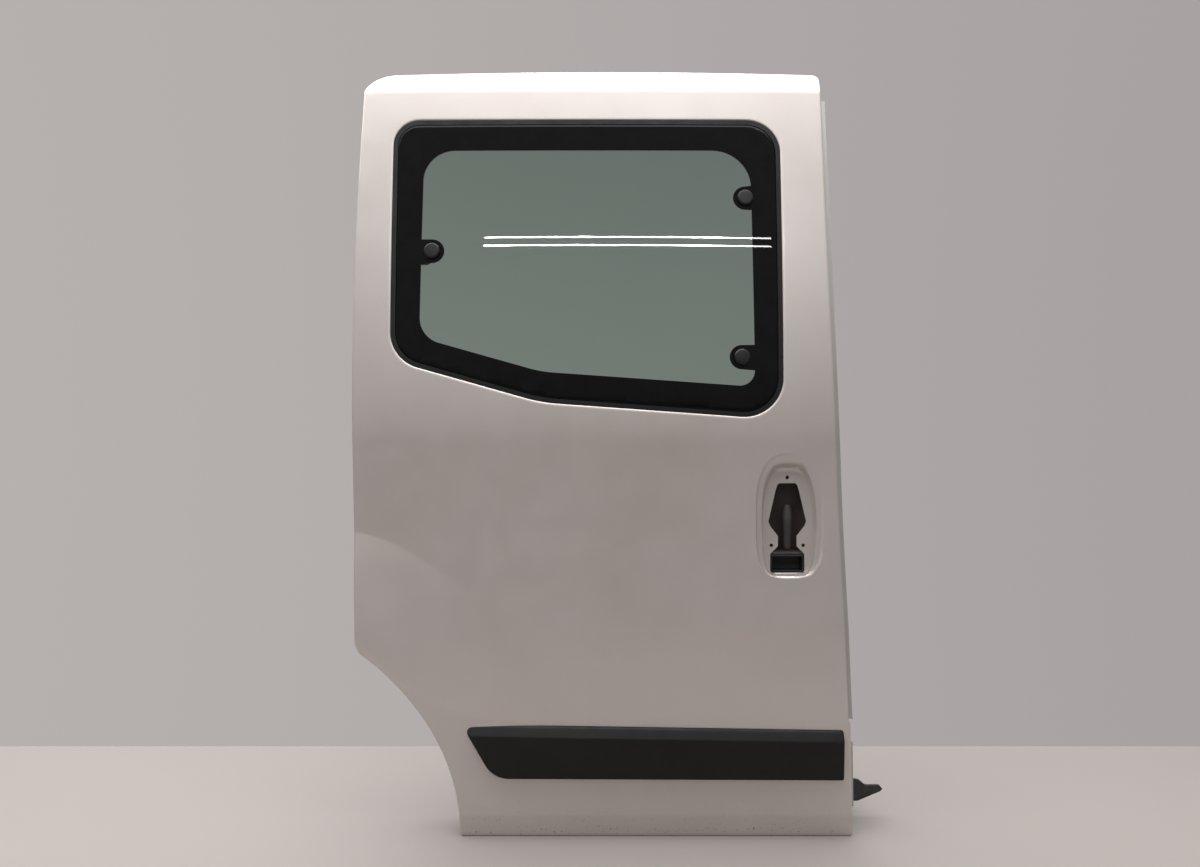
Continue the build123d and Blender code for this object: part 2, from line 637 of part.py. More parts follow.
def make_plug(x, z):
    flange = Cylinder(PLUG_HOLE_R + 4, 2.5, align=(Align.CENTER, Align.CENTER, Align.MAX))
    body = Cylinder(PLUG_HOLE_R - FIT, 7, align=(Align.CENTER, Align.CENTER, Align.MIN))
    return Pos(x, INNER_FACE_Y, z) * Rot(90, 0, 0) * (flange + body)


def wall_x(z, end):
    """Where a flat end wall of the inner panel stands at a height: 1 is the front, -1 the rear."""
    inside = prism(door_outline(-PANEL_INSET - PANEL_T - FIT), 0, 10)
    box = (inside & slab((-600, 600), (0, 10), (z - 1, z + 1))).bounding_box()
    return box.max.X if end > 0 else box.min.X


FRONT_LATCH_X = wall_x(FRONT_LATCH_Z, 1)
REAR_LATCH_X = wall_x(REAR_LATCH_Z, -1)

pieces = {}
pieces["outer_skin"] = make_outer_skin()
inner_panel = make_inner_panel()
pieces["inner_lower_panel"] = inner_panel & slab((-600, 600), (-100, 400), (-100, SHELF_TOP_Z))
pieces["inner_window_frame"] = inner_panel & slab((-600, 600), (-100, 400), (SHELF_TOP_Z, 1400))
pieces["front_lip_upper"] = make_front_lip(STEP_Z, LIP_TOP_Z, LIP_OUT)
pieces["front_lip_lower"] = make_front_lip(*LOW_LIP, LOW_LIP_OUT)
pieces["window_glass"] = make_glass()
pieces["window_seal"] = make_window_seal()
for level, (x, z) in FRONT_CAPS.items():
    pieces[f"window_cap_{level}"] = make_cap(x, z)
    pieces[f"window_hinge_{level}"] = make_window_hinge(x, z)
pieces["window_cap_rear"] = make_cap(*REAR_CAP)
pieces["window_latch_base"] = make_latch_base()
pieces["window_latch_lever"] = make_latch_lever()
pieces["side_moulding"] = make_moulding()
pieces["handle_unit"] = make_handle_unit()
pieces["handle_tray"] = make_handle_tray()
pieces["release_unit"] = make_release_unit()
pieces["front_latch"] = make_latch(FRONT_LATCH_X, FRONT_LATCH_Z)
pieces["rear_latch"] = make_latch(REAR_LATCH_X, REAR_LATCH_Z)
pieces["latch_rod"] = make_rod()
pieces["intrusion_beam"] = make_beam()
pieces["centre_hinge_plate"] = make_hinge_plate()
pieces["upper_arm_plate"] = make_upper_plate()
pieces["lower_arm"] = make_lower_arm()
for number, (x, z) in enumerate(STOPS_AT, 1):
    pieces[f"door_stop_{number}"] = make_stop(x, z)
for number, (x, z) in enumerate(PLUG_HOLES, 1):
    pieces[f"panel_plug_{number}"] = make_plug(x, z)

origin = Location((-HINGE_AT[0], -INNER_FACE_Y - HINGE_PLATE[2], -HINGE_AT[1]))
os.makedirs("parts", exist_ok=True)
for name, piece in pieces.items():
    export_step(piece.moved(origin), f"parts/{name}.step")
    print(name, round(piece.volume / 1000, 1), "cm3", piece.is_valid, len(piece.solids()))
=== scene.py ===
import math

import bmesh
import bpy
import numpy as np
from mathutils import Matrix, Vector
from mathutils.geometry import delaunay_2d_cdt
from mathutils.kdtree import KDTree


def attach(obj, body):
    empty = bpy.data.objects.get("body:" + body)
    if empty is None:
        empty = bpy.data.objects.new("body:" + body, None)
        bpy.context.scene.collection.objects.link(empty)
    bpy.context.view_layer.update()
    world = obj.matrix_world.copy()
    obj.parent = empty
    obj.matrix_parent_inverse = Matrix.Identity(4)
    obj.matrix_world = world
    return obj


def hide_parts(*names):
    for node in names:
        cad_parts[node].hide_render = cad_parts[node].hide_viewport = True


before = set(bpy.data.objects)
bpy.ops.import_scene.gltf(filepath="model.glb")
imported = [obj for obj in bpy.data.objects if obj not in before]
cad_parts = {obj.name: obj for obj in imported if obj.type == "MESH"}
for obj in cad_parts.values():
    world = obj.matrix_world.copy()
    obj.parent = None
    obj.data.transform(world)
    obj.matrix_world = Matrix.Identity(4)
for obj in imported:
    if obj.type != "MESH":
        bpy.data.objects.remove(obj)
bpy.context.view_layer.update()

scene = bpy.context.scene
scene.view_settings.view_transform = "Standard"

# the door's own lines, millimetres: x forwards, y inwards, z up from the hem
door = {
    "originAt": (-322, 100, 525),
    "height": 1230, "topCrown": 6, "hemFrontX": 393.5, "stepZ": 182, "stepOut": 3, "frontStepX": 384.5,
    "frontMid": (367.5, 640), "frontTopX": 361.5, "rearLowX": -376, "rearFootZ": 332, "rearMid": (-389, 800),
    "rearTopX": -386, "rearTopRun": 51, "archCentre": (-570, 3), "archRadius": 352,
    "hemDepth": 20, "hemCreaseZ": 34, "hemCreaseDepth": 14, "sillMidZ": 90, "sillMidDepth": 9.5,
    "sillTopZ": 185, "sillTopDepth": 3.6, "waistZ": 331, "waistDepth": 0.3, "beltZ": 620, "beltDepth": 10,
    "tumblehome": 72, "capHeight": 41, "capDepth": 30, "capBulge": 4.25, "capLean": 1.15, "capPeak": 0.33,
    "planCrown": 5, "belowPower": 1.6, "abovePower": 1.45, "creaseRound": 2.2,
    "flareEndX": -60, "flareBeyond": 20, "flareRise": 146, "flareFoot": -13,
    "flareDepths": (-9.5, -4.7, 2.3), "flareSteps": (0.25, 0.5, 0.82),
    "lowEndX": -120, "lowRise": 135, "lowPower": 2.3, "lowReach": 1.1,
    "sheet": 1.2, "stepHalf": 4, "archCut": 13, "topCut": 10, "hemCut": 3,
}
creaseZ = door["height"] - door["capHeight"]


def place(x, y, z):  # door millimetres to metres in the shared frame
    ox, oy, oz = door["originAt"]
    return Vector(((x - ox) / 1000, (y - oy) / 1000, (z - oz) / 1000))


def ease(t):
    t = min(max(t, 0), 1)
    return t * t * (3 - 2 * t)


def crownAt(x, z):  # both ends of the side turn in a little
    half = (door["hemFrontX"] - door["rearLowX"]) / 2
    rise = (z - door["sillTopZ"]) / (door["beltZ"] - door["sillTopZ"])
    return door["planCrown"] * (x / half) ** 2 * ease(rise)


def sideDepth(x, z):  # plain side panel, leaning in above its belt
    belt = door["beltZ"]
    if z < belt:
        below = (belt - z) / (belt - door["waistZ"])
        depth = door["beltDepth"] - (door["beltDepth"] - door["waistDepth"]) * below ** door["belowPower"]
    else:
        above = (z - belt) / (creaseZ - belt)
        depth = door["beltDepth"] + door["tumblehome"] * above ** door["abovePower"]
    return depth + crownAt(x, z)


def flareShare(x):  # how much of the wheel-arch flare is there, none at its front end
    return ease((door["flareEndX"] - x) / (door["flareEndX"] - door["rearLowX"] + door["flareBeyond"]))


def upperCrease(x):
    return door["waistZ"] + door["flareRise"] * flareShare(x)


def lowerCrease(x):
    run = max(door["lowEndX"] - x, 0) / (door["lowEndX"] - door["rearLowX"])
    return door["sillTopZ"] + door["lowRise"] * min(run, door["lowReach"]) ** door["lowPower"]


def throughPoints(zs, ys, z):  # smooth curve through a few heights
    last = len(zs) - 1
    i = 0
    while i < last - 1 and z > zs[i + 1]:
        i += 1
    slopes = []
    for k in (i, i + 1):
        a, b = max(k - 1, 0), min(k + 1, last)
        slopes.append((ys[b] - ys[a]) / (zs[b] - zs[a]))
    h = zs[i + 1] - zs[i]
    t = (z - zs[i]) / h
    return ((2 * t ** 3 - 3 * t * t + 1) * ys[i] + (t ** 3 - 2 * t * t + t) * h * slopes[0]
            + (3 * t * t - 2 * t ** 3) * ys[i + 1] + (t ** 3 - t * t) * h * slopes[1])


def capDepthAt(x, z):  # rounded strip above the roof crease
    start = sideDepth(x, creaseZ)
    rise = (z - creaseZ) / door["capHeight"]
    bulge = door["capBulge"] * rise * (door["capLean"] - rise) / door["capPeak"]
    return start + door["capDepth"] * rise - bulge


def panelDepth(x, z):  # depth of the outer skin anywhere on the door
    low, high = lowerCrease(x), upperCrease(x)
    if z <= door["hemCreaseZ"]:
        slope = (door["hemDepth"] - door["hemCreaseDepth"]) / door["hemCreaseZ"]
        return door["hemDepth"] - slope * z
    share = flareShare(x)
    lowDepth = door["sillTopDepth"] + share * (door["flareFoot"] - door["sillTopDepth"]) + crownAt(x, low)
    if z <= low:
        return throughPoints((door["hemCreaseZ"], door["sillMidZ"], low),
                             (door["hemCreaseDepth"], door["sillMidDepth"], lowDepth), z)
    if z <= high:
        zs, ys = [low], [lowDepth]
        for fraction, proud in zip(door["flareSteps"], door["flareDepths"]):
            at = low + fraction * (high - low)
            plain = door["sillTopDepth"] + fraction * (door["waistDepth"] - door["sillTopDepth"])
            zs.append(at)
            ys.append(plain + share * (proud - plain) + crownAt(x, at))
        return throughPoints(zs + [high], ys + [sideDepth(x, high)], z)
    if z <= creaseZ:
        return sideDepth(x, z)
    return capDepthAt(x, z)


def softDepth(x, z):  # the same, with the pressed creases slightly rounded
    reach = door["creaseRound"]
    return 0.25 * (panelDepth(x, z - reach) + 2 * panelDepth(x, z) + panelDepth(x, z + reach))


# drawn outlines, x and z in millimetres
def arcThrough(a, b, c, step=3.0):  # points along the arc through three places
    (ax, az), (bx, bz), (cx, cz) = a, b, c
    aa, bb, cc = ax * ax + az * az, bx * bx + bz * bz, cx * cx + cz * cz
    d = 2 * (ax * (bz - cz) + bx * (cz - az) + cx * (az - bz))
    ux = (aa * (bz - cz) + bb * (cz - az) + cc * (az - bz)) / d
    uz = (aa * (cx - bx) + bb * (ax - cx) + cc * (bx - ax)) / d
    radius = math.hypot(ax - ux, az - uz)
    start, mid, end = (math.atan2(z - uz, x - ux) for x, z in (a, b, c))
    sweep = (end - start) % (2 * math.pi)
    if (mid - start) % (2 * math.pi) > sweep:
        sweep -= 2 * math.pi
    count = max(int(abs(sweep) * radius / step), 4)
    turns = [start + sweep * i / count for i in range(count)]
    return [(ux + radius * math.cos(t), uz + radius * math.sin(t)) for t in turns]


def straight(a, b, step=3.0):
    count = max(int(math.dist(a, b) / step), 1)
    return [(a[0] + (b[0] - a[0]) * i / count, a[1] + (b[1] - a[1]) * i / count) for i in range(count)]


def roundAt(loop, corner, cut):  # ease one corner of a dense loop
    i = min(range(len(loop)), key=lambda k: math.dist(loop[k], corner))
    n = len(loop)
    back = fore = i
    while math.dist(loop[back], loop[i]) < cut:
        back = (back - 1) % n
    while math.dist(loop[fore], loop[i]) < cut:
        fore = (fore + 1) % n
    a, b, c = loop[back], loop[i], loop[fore]
    curve = []
    for t in (k / 6 for k in range(1, 6)):
        near, mid, far = (1 - t) ** 2, 2 * t * (1 - t), t * t
        curve.append((near * a[0] + mid * b[0] + far * c[0], near * a[1] + mid * b[1] + far * c[1]))
    kept = [loop[(fore + k) % n] for k in range((back - fore) % n + 1)]
    return kept + curve


def filletLoop(points, radii, step=2.5):  # closed outline with rounded corners
    loop = []
    n = len(points)
    for i, radius in enumerate(radii):
        p, a, b = Vector(points[i]), Vector(points[i - 1]), Vector(points[(i + 1) % n])
        inward, outward = (a - p).normalized(), (b - p).normalized()
        half = inward.angle(outward) / 2
        cut = radius / math.tan(half)
        start, end = p + inward * cut, p + outward * cut
        centre = p + (inward + outward).normalized() * (radius / math.sin(half))
        if loop:
            loop += straight(loop.pop(), tuple(start), step)
        first = start - centre
        turn = first.angle_signed(end - centre) * -1
        count = max(int(abs(turn) * radius / step), 3)
        for k in range(count + 1):
            angle = turn * k / count
            loop.append((centre.x + first.x * math.cos(angle) - first.y * math.sin(angle),
                         centre.y + first.x * math.sin(angle) + first.y * math.cos(angle)))
    return loop + straight(loop.pop(), loop[0], step)


def insetLoop(loop, amount):  # move a loop inwards along its own normals
    n = len(loop)
    area = sum(loop[i - 1][0] * loop[i][1] - loop[i][0] * loop[i - 1][1] for i in range(n))
    sign = 1 if area > 0 else -1
    moved = []
    for i in range(n):
        before, after = Vector(loop[i - 1]), Vector(loop[(i + 1) % n])
        along = (after - before).normalized()
        moved.append((loop[i][0] - sign * along.y * amount, loop[i][1] + sign * along.x * amount))
    return moved


def doorLoop():
    cornerZ = door["height"] - door["topCrown"]
    hem = (door["hemFrontX"], 0)
    stepLow = (door["frontStepX"] + door["stepOut"], door["stepZ"] - door["stepHalf"])
    stepHigh = (door["frontStepX"], door["stepZ"] + door["stepHalf"])
    topFront = (door["frontTopX"], cornerZ)
    topRear = (door["rearTopX"] + door["rearTopRun"], cornerZ)
    creaseRear = (door["rearTopX"], creaseZ)
    run, drop = door["rearTopRun"], cornerZ - creaseZ
    bend = (run * run + drop * drop) / (2 * drop)
    half = math.atan2(run, bend - drop) / 2
    cornerMid = (topRear[0] - bend * math.sin(half), cornerZ - bend + bend * math.cos(half))
    cx, cz = door["archCentre"]
    radius = door["archRadius"]
    rearFoot = (door["rearLowX"], door["rearFootZ"])
    archTop = (door["rearLowX"], cz + math.sqrt(radius ** 2 - (door["rearLowX"] - cx) ** 2))
    archFoot = (cx + math.sqrt(radius ** 2 - cz ** 2), 0)
    rise = math.atan2(archTop[1] - cz, archTop[0] - cx) / 2
    archMid = (cx + radius * math.cos(rise), cz + radius * math.sin(rise))
    loop = straight(archFoot, hem) + straight(hem, stepLow) + straight(stepLow, stepHigh)
    loop += arcThrough(stepHigh, door["frontMid"], topFront)
    loop += arcThrough(topFront, (0, door["height"]), topRear)
    loop += arcThrough(topRear, cornerMid, creaseRear)
    loop += arcThrough(creaseRear, door["rearMid"], rearFoot) + straight(rearFoot, archTop)
    loop += arcThrough(archTop, archMid, archFoot)
    cuts = ((archTop, door["archCut"]), (topFront, door["topCut"]),
            (hem, door["hemCut"]), (archFoot, door["hemCut"]))
    for corner, cut in cuts:
        loop = roundAt(loop, corner, cut)
    return loop


window = {
    "corners": [(-335, 1138), (292, 1138), (286, 650), (-92, 677), (-329, 744)],
    "radii": (42, 55, 62, 260, 60), "sealWidth": 8, "glassBack": 1.0, "glassThick": 4,
    "groundBands": (0.7, 1.4, 2.4), "groundWidth": 2.4, "groundDepth": 1.1, "spacing": 9.0, "clear": 2.6,
    "clearCorners": [(-284, 1086), (242.5, 1086), (242.5, 702), (-92, 725.5), (-284, 780)],
    "clearRadii": (50, 62, 24, 200, 42), "tabRadius": 19.2, "tabSteps": 24,
    "caps": [(232.4, 1006), (222.5, 748.5), (-266.7, 918.5)], "shaftRadius": 5.3, "shaftSides": 24,
    "hingeReach": 0.0165,
}
handle = {
    "x": 294, "z": 501, "ringDepth": 3, "floorDepth": 16,
    "rimShare": 0.75, "rimTurn": 0.22, "wallShare": 0.65,
    "outer": {"half": (52.6, 97), "drop": 0, "bow": (0, 0), "powers": (2.564, 3.6)},
    "ring": {"half": (43, 89.3), "drop": 5.1, "bow": (0.2, 0.12), "powers": (4, 6)},
    "floor": {"half": (38, 81.5), "drop": 10, "bow": (0.3, 0.15), "powers": (5, 8)},
    "cutHalf": [(14.5, 551), (18, 541), (29.7, 491), (27, 484),
                (14.7, 468), (14.7, 452), (26.8, 440), (26.8, 410.5)],
    "cutRadii": [5, 10, 3, 3, 3, 3, 3, 4],
    "holes": [(-25, 453.5), (25, 453.5), (0, 560)], "holeRadius": 2.8, "holeSides": 20,
    "apron": 1.12, "spokes": 220, "backingGap": 1.5,
}


def ovalReach(shape, x, z):  # under 1 inside the egg shape, over 1 outside
    up = (z - handle["z"] + shape["drop"]) / shape["half"][1]
    part = 0 if up > 0 else 1
    power = shape["powers"][part]
    across = (x - handle["x"]) / (shape["half"][0] * (1 - shape["bow"][part] * min(up * up, 1)))
    return (abs(across) ** power + abs(up) ** power) ** (1 / power)


def ovalPoint(shape, angle, grow=1):  # walk out from the middle until the rim is met
    c, s = math.cos(angle), math.sin(angle)
    away = 60
    for _ in range(16):
        away /= ovalReach(shape, handle["x"] + away * c, handle["z"] - shape["drop"] + away * s) ** 0.7
    return handle["x"] + grow * away * c, handle["z"] - shape["drop"] + grow * away * s


def dishedDepth(x, z):  # depth of the skin with the handle recess pressed in
    surface = softDepth(x, z)
    outer = ovalReach(handle["outer"], x, z)
    if outer >= 1:
        return surface
    level = sideDepth(handle["x"], handle["z"])
    ringLevel, floorLevel = level + handle["ringDepth"], level + handle["floorDepth"]
    ring = ovalReach(handle["ring"], x, z)
    if ring >= 1:
        t = (1 - outer) / (ring - outer)
        rim, slope = handle["rimShare"], 1 - handle["rimShare"]
        return surface + (ringLevel - surface) * (rim * ease(t / handle["rimTurn"]) + slope * t)
    floor = ovalReach(handle["floor"], x, z)
    if floor >= 1:
        t = (1 - ring) / (floor - ring)
        soft, slope = handle["wallShare"], 1 - handle["wallShare"]
        return ringLevel + (floorLevel - ringLevel) * (slope * t + soft * ease(t))
    return floorLevel


def cutLoop():
    half = handle["cutHalf"]
    points = [(handle["x"] - x, z) for x, z in half] + [(handle["x"] + x, z) for x, z in reversed(half)]
    return filletLoop(points, handle["cutRadii"] + handle["cutRadii"][::-1], 1.5)


def circleLoop(x, z, radius, count):
    return [(x + radius * math.cos(2 * math.pi * k / count), z + radius * math.sin(2 * math.pi * k / count))
            for k in range(count)]


def insideLoop(points, loop):  # which points lie inside a closed loop
    px, pz = points[:, 0], points[:, 1]
    inside = np.zeros(len(points), bool)
    for (ax, az), (bx, bz) in zip(loop, loop[1:] + loop[:1]):
        if az == bz:
            continue
        crosses = (az > pz) != (bz > pz)
        inside ^= crosses & (px < (bx - ax) * (pz - az) / (bz - az) + ax)
    return inside


def insideSheet(points, outer, holes):
    keep = insideLoop(points, outer)
    for hole in holes:
        keep &= ~insideLoop(points, hole)
    return keep


def spotTree(points):  # finds the nearest of many points
    tree = KDTree(len(points))
    for k, (x, z) in enumerate(points):
        tree.insert((x, z, 0), k)
    tree.balance()
    return tree


def gapTo(tree, x, z):
    return tree.find((x, z, 0))[2]


def fillOutline(outer, holes, lines, extra, spacing, clear):  # even triangles, with holes cut and lines kept
    fixed, edges = [], []
    for loop in [outer] + holes + lines:
        first = len(fixed)
        fixed += loop
        edges += [(first + k, first + (k + 1) % len(loop)) for k in range(len(loop))]
    spots = spotTree(fixed + extra)
    xs, zs = [p[0] for p in outer], [p[1] for p in outer]
    grid = []
    for r in range(int((max(zs) - min(zs)) / spacing) + 1):
        z = min(zs) + r * spacing
        shift = spacing / 2 if r % 2 else 0
        for c in range(int((max(xs) - min(xs)) / spacing) + 1):
            x = min(xs) + c * spacing + shift
            if gapTo(spots, x, z) > clear:
                grid.append((x, z))
    pool = np.array(grid)
    points = fixed + extra + [tuple(p) for p in pool[insideSheet(pool, outer, holes)]]
    verts, _, faces, *_ = delaunay_2d_cdt([Vector(p) for p in points], edges, [], 0, 1e-4)
    flat = np.array([(v.x, v.y) for v in verts])
    tris = np.array([f for f in faces if len(f) == 3])
    return flat, tris[insideSheet(flat[tris].mean(axis=1), outer, holes)]


sharpAngles = {"sheet": math.radians(40), "hard": math.radians(35)}


def newPiece(name, verts, faces):
    mesh = bpy.data.meshes.new(name)
    mesh.from_pydata(verts, [], faces)
    mesh.validate()
    bm = bmesh.new()
    bm.from_mesh(mesh)
    bmesh.ops.remove_doubles(bm, verts=bm.verts, dist=1e-6)
    bmesh.ops.recalc_face_normals(bm, faces=bm.faces)
    bm.to_mesh(mesh)
    bm.free()
    piece = bpy.data.objects.new(name, mesh)
    scene.collection.objects.link(piece)
    mesh.shade_smooth()
    mesh.set_sharp_from_angle(angle=sharpAngles["sheet"])
    return piece


def sheetPiece(name, flat, tris, depthFront, depthBack):  # closed sheet between two depths
    front = [place(x, depthFront(x, z), z) for x, z in flat]
    back = [place(x, depthBack(x, z), z) for x, z in flat]
    n = len(front)
    faces = []
    seen = {}
    for a, b, c in tris.tolist():
        faces.append((a, b, c))
        faces.append((n + c, n + b, n + a))
        for e in ((a, b), (b, c), (c, a)):
            seen[tuple(sorted(e))] = e if tuple(sorted(e)) not in seen else None
    for edge in seen.values():
        if edge:
            faces.append((edge[1], edge[0], n + edge[0], n + edge[1]))
    return newPiece(name, front + back, faces)


# materials
def material(name):
    made = bpy.data.materials.new(name)
    made.use_nodes = True
    nodes, links = made.node_tree.nodes, made.node_tree.links
    return made, nodes, links, nodes["Principled BSDF"]


def coords(nodes):
    return nodes.new("ShaderNodeTexCoord").outputs["Object"]


def noise(nodes, links, vector, scale, detail):
    made = nodes.new("ShaderNodeTexNoise")
    made.inputs["Scale"].default_value = scale
    made.inputs["Detail"].default_value = detail
    made.inputs["Roughness"].default_value = 0.55
    links.new(vector, made.inputs["Vector"])
    return made.outputs["Fac"]


def ramp(nodes, links, value, stops):
    made = nodes.new("ShaderNodeValToRGB")
    elements = made.color_ramp.elements
    while len(elements) < len(stops):
        elements.new(0.5)
    for element, (at, colour) in zip(elements, stops):
        element.position = at
        element.color = (*colour, 1)
    links.new(value, made.inputs["Fac"])
    return made.outputs["Color"]


def mixed(nodes, links, factor, a, b, mode="MIX"):
    made = nodes.new("ShaderNodeMix")
    made.data_type = "RGBA"
    made.blend_type = mode
    pairs = ((made.inputs[0], factor), (made.inputs[6], a), (made.inputs[7], b))
    for socket, value in pairs:
        if isinstance(value, (int, float)):
            socket.default_value = value
        elif isinstance(value, tuple):
            socket.default_value = (*value, 1)
        else:
            links.new(value, socket)
    return made.outputs[2]


def roughen(nodes, links, shader, where, scale, detail, low, high, stops=(0.3, 0.7)):
    patches = noise(nodes, links, where, scale, detail)
    rough = ramp(nodes, links, patches, [(stops[0], (low,) * 3), (stops[1], (high,) * 3)])
    links.new(rough, shader.inputs["Roughness"])


def bump(nodes, links, shader, height, strength, distance):
    made = nodes.new("ShaderNodeBump")
    made.inputs["Strength"].default_value = strength
    made.inputs["Distance"].default_value = distance
    links.new(height, made.inputs["Height"])
    links.new(made.outputs["Normal"], shader.inputs["Normal"])


paints = {
    "silverPaint": {"light": (0.62, 0.567, 0.541), "dark": (0.55, 0.503, 0.48),
                    "metallic": 0.5, "coat": 0.25, "rough": (0.33, 0.41)},
    "innerPaint": {"light": (0.52, 0.5, 0.48), "dark": (0.45, 0.43, 0.41),
                   "metallic": 0.45, "coat": 0.1, "rough": (0.42, 0.55)},
}
dirt = {"amount": 0.9, "colour": (0.09, 0.075, 0.06), "from": -0.46, "to": -0.525,
        "stain": (0.93, 0.9, 0.87)}


def makePaint(name):  # flaked paint, faintly stained, with specks along the hem
    values = paints[name]
    made, nodes, links, shader = material(name)
    where = coords(nodes)
    flake = noise(nodes, links, where, 2600, 1)
    cloud = noise(nodes, links, where, 3.5, 4)
    grain = ramp(nodes, links, flake, [(0.3, values["dark"]), (0.7, values["light"])])
    stain = ramp(nodes, links, cloud, [(0.42, (0, 0, 0)), (0.75, (1, 1, 1))])
    base = mixed(nodes, links, stain, grain, mixed(nodes, links, 0.82, grain, dirt["stain"], "MULTIPLY"))
    speckNoise = noise(nodes, links, where, 300, 2)
    speck = ramp(nodes, links, speckNoise, [(0.67, (0, 0, 0)), (0.71, (dirt["amount"],) * 3)])
    height = nodes.new("ShaderNodeSeparateXYZ")
    links.new(where, height.inputs["Vector"])
    low = nodes.new("ShaderNodeMapRange")
    low.inputs["From Min"].default_value = dirt["from"]
    low.inputs["From Max"].default_value = dirt["to"]
    links.new(height.outputs["Z"], low.inputs["Value"])
    spots = mixed(nodes, links, 1.0, speck, low.outputs["Result"], "MULTIPLY")
    links.new(mixed(nodes, links, spots, base, dirt["colour"]), shader.inputs["Base Color"])
    shader.inputs["Metallic"].default_value = values["metallic"]
    shader.inputs["Coat Weight"].default_value = values["coat"]
    shader.inputs["Coat Roughness"].default_value = 0.08
    roughen(nodes, links, shader, where, 22, 5, *values["rough"], (0.3, 0.75))
    bump(nodes, links, shader, noise(nodes, links, where, 700, 2), 0.05, 0.0004)
    return made


plastics = {
    "mouldingPlastic": {"dark": (0.0032, 0.003, 0.0027), "light": (0.006, 0.0055, 0.005),
                        "rough": (0.45, 0.6), "grain": 900, "depth": 0.0003},
    "blackPlastic": {"dark": (0.012, 0.012, 0.012), "light": (0.024, 0.024, 0.023), "rough": (0.42, 0.6),
                     "grain": 1200, "depth": 0.0002},
    "capPlastic": {"dark": (0.008, 0.008, 0.009), "light": (0.016, 0.016, 0.016), "rough": (0.3, 0.42),
                   "grain": 1600, "depth": 0.0001},
    "greyPlastic": {"dark": (0.05, 0.04, 0.038), "light": (0.085, 0.068, 0.065), "rough": (0.35, 0.5),
                    "grain": 900, "depth": 0.0002},
    "sealRubber": {"dark": (0.004, 0.004, 0.004), "light": (0.008, 0.008, 0.0076), "rough": (0.5, 0.7),
                   "grain": 1500, "depth": 0.0002},
}


def makePlastic(name):  # grained plastic or rubber
    values = plastics[name]
    made, nodes, links, shader = material(name)
    where = coords(nodes)
    cloud = noise(nodes, links, where, 14, 6)
    base = ramp(nodes, links, cloud, [(0.3, values["dark"]), (0.75, values["light"])])
    links.new(base, shader.inputs["Base Color"])
    roughen(nodes, links, shader, where, 35, 4, *values["rough"])
    shader.inputs["Specular IOR Level"].default_value = 0.3
    grain = nodes.new("ShaderNodeTexVoronoi")
    grain.inputs["Scale"].default_value = values["grain"]
    links.new(where, grain.inputs["Vector"])
    bump(nodes, links, shader, grain.outputs["Distance"], 0.5, values["depth"])
    return made


steels = {
    "blackSteel": {"dark": (0.012, 0.012, 0.012), "light": (0.03, 0.029, 0.028), "metallic": 0.1,
                   "rough": (0.4, 0.6), "rust": 0.35},
    "leverSteel": {"dark": (0.04, 0.037, 0.036), "light": (0.07, 0.065, 0.062), "metallic": 0.3,
                   "rough": (0.4, 0.6), "rust": 0.4},
    "platedSteel": {"dark": (0.42, 0.4, 0.35), "light": (0.58, 0.56, 0.5), "metallic": 0.9,
                    "rough": (0.3, 0.5), "rust": 0.5},
}
rustColour = (0.16, 0.07, 0.03)


def makeSteel(name):  # worn steel with a few rusty spots
    values = steels[name]
    made, nodes, links, shader = material(name)
    where = coords(nodes)
    cloud = noise(nodes, links, where, 40, 5)
    base = ramp(nodes, links, cloud, [(0.3, values["dark"]), (0.75, values["light"])])
    rustNoise = noise(nodes, links, where, 60, 6)
    spots = ramp(nodes, links, rustNoise, [(0.6, (0, 0, 0)), (0.72, (values["rust"],) * 3)])
    links.new(mixed(nodes, links, spots, base, rustColour), shader.inputs["Base Color"])
    shader.inputs["Metallic"].default_value = values["metallic"]
    roughen(nodes, links, shader, where, 90, 4, *values["rough"])
    bump(nodes, links, shader, noise(nodes, links, where, 500, 3), 0.15, 0.0004)
    return made


tint = {"low": (0.37, 0.48, 0.42), "high": (0.29, 0.375, 0.335), "wave": 0.15}


def makeGlass():  # green glass, deeper towards the top
    made, nodes, links, shader = material("greenGlass")
    where = coords(nodes)
    split = nodes.new("ShaderNodeSeparateXYZ")
    links.new(where, split.inputs["Vector"])
    wave = nodes.new("ShaderNodeMath")
    wave.operation = "MULTIPLY_ADD"
    links.new(noise(nodes, links, where, 2.5, 3), wave.inputs[0])
    wave.inputs[1].default_value = tint["wave"]
    links.new(split.outputs["Z"], wave.inputs[2])
    shade = ramp(nodes, links, wave.outputs[0], [(0.25, tint["low"]), (0.65, tint["high"])])
    links.new(shade, shader.inputs["Base Color"])
    shader.inputs["Transmission Weight"].default_value = 1.0
    shader.inputs["IOR"].default_value = 1.5
    roughen(nodes, links, shader, where, 18, 6, 0.004, 0.02, (0.45, 0.8))
    return made


def makeFrit():  # black print on the glass
    made, nodes, links, shader = material("blackFrit")
    where = coords(nodes)
    base = ramp(nodes, links, noise(nodes, links, where, 30, 4), [(0.3, (0.003,) * 3), (0.7, (0.005,) * 3)])
    links.new(base, shader.inputs["Base Color"])
    shader.inputs["Specular IOR Level"].default_value = 0.15
    roughen(nodes, links, shader, where, 18, 6, 0.01, 0.025, (0.45, 0.8))
    return made


bodyPaint = makePaint("silverPaint")
innerPaint = makePaint("innerPaint")
mouldingBlack = makePlastic("mouldingPlastic")
blackPlastic = makePlastic("blackPlastic")
capPlastic = makePlastic("capPlastic")
greyPlastic = makePlastic("greyPlastic")
sealRubber = makePlastic("sealRubber")
blackSteel = makeSteel("blackSteel")
leverSteel = makeSteel("leverSteel")
platedSteel = makeSteel("platedSteel")
glassGreen = makeGlass()
fritBlack = makeFrit()
print("materials made")


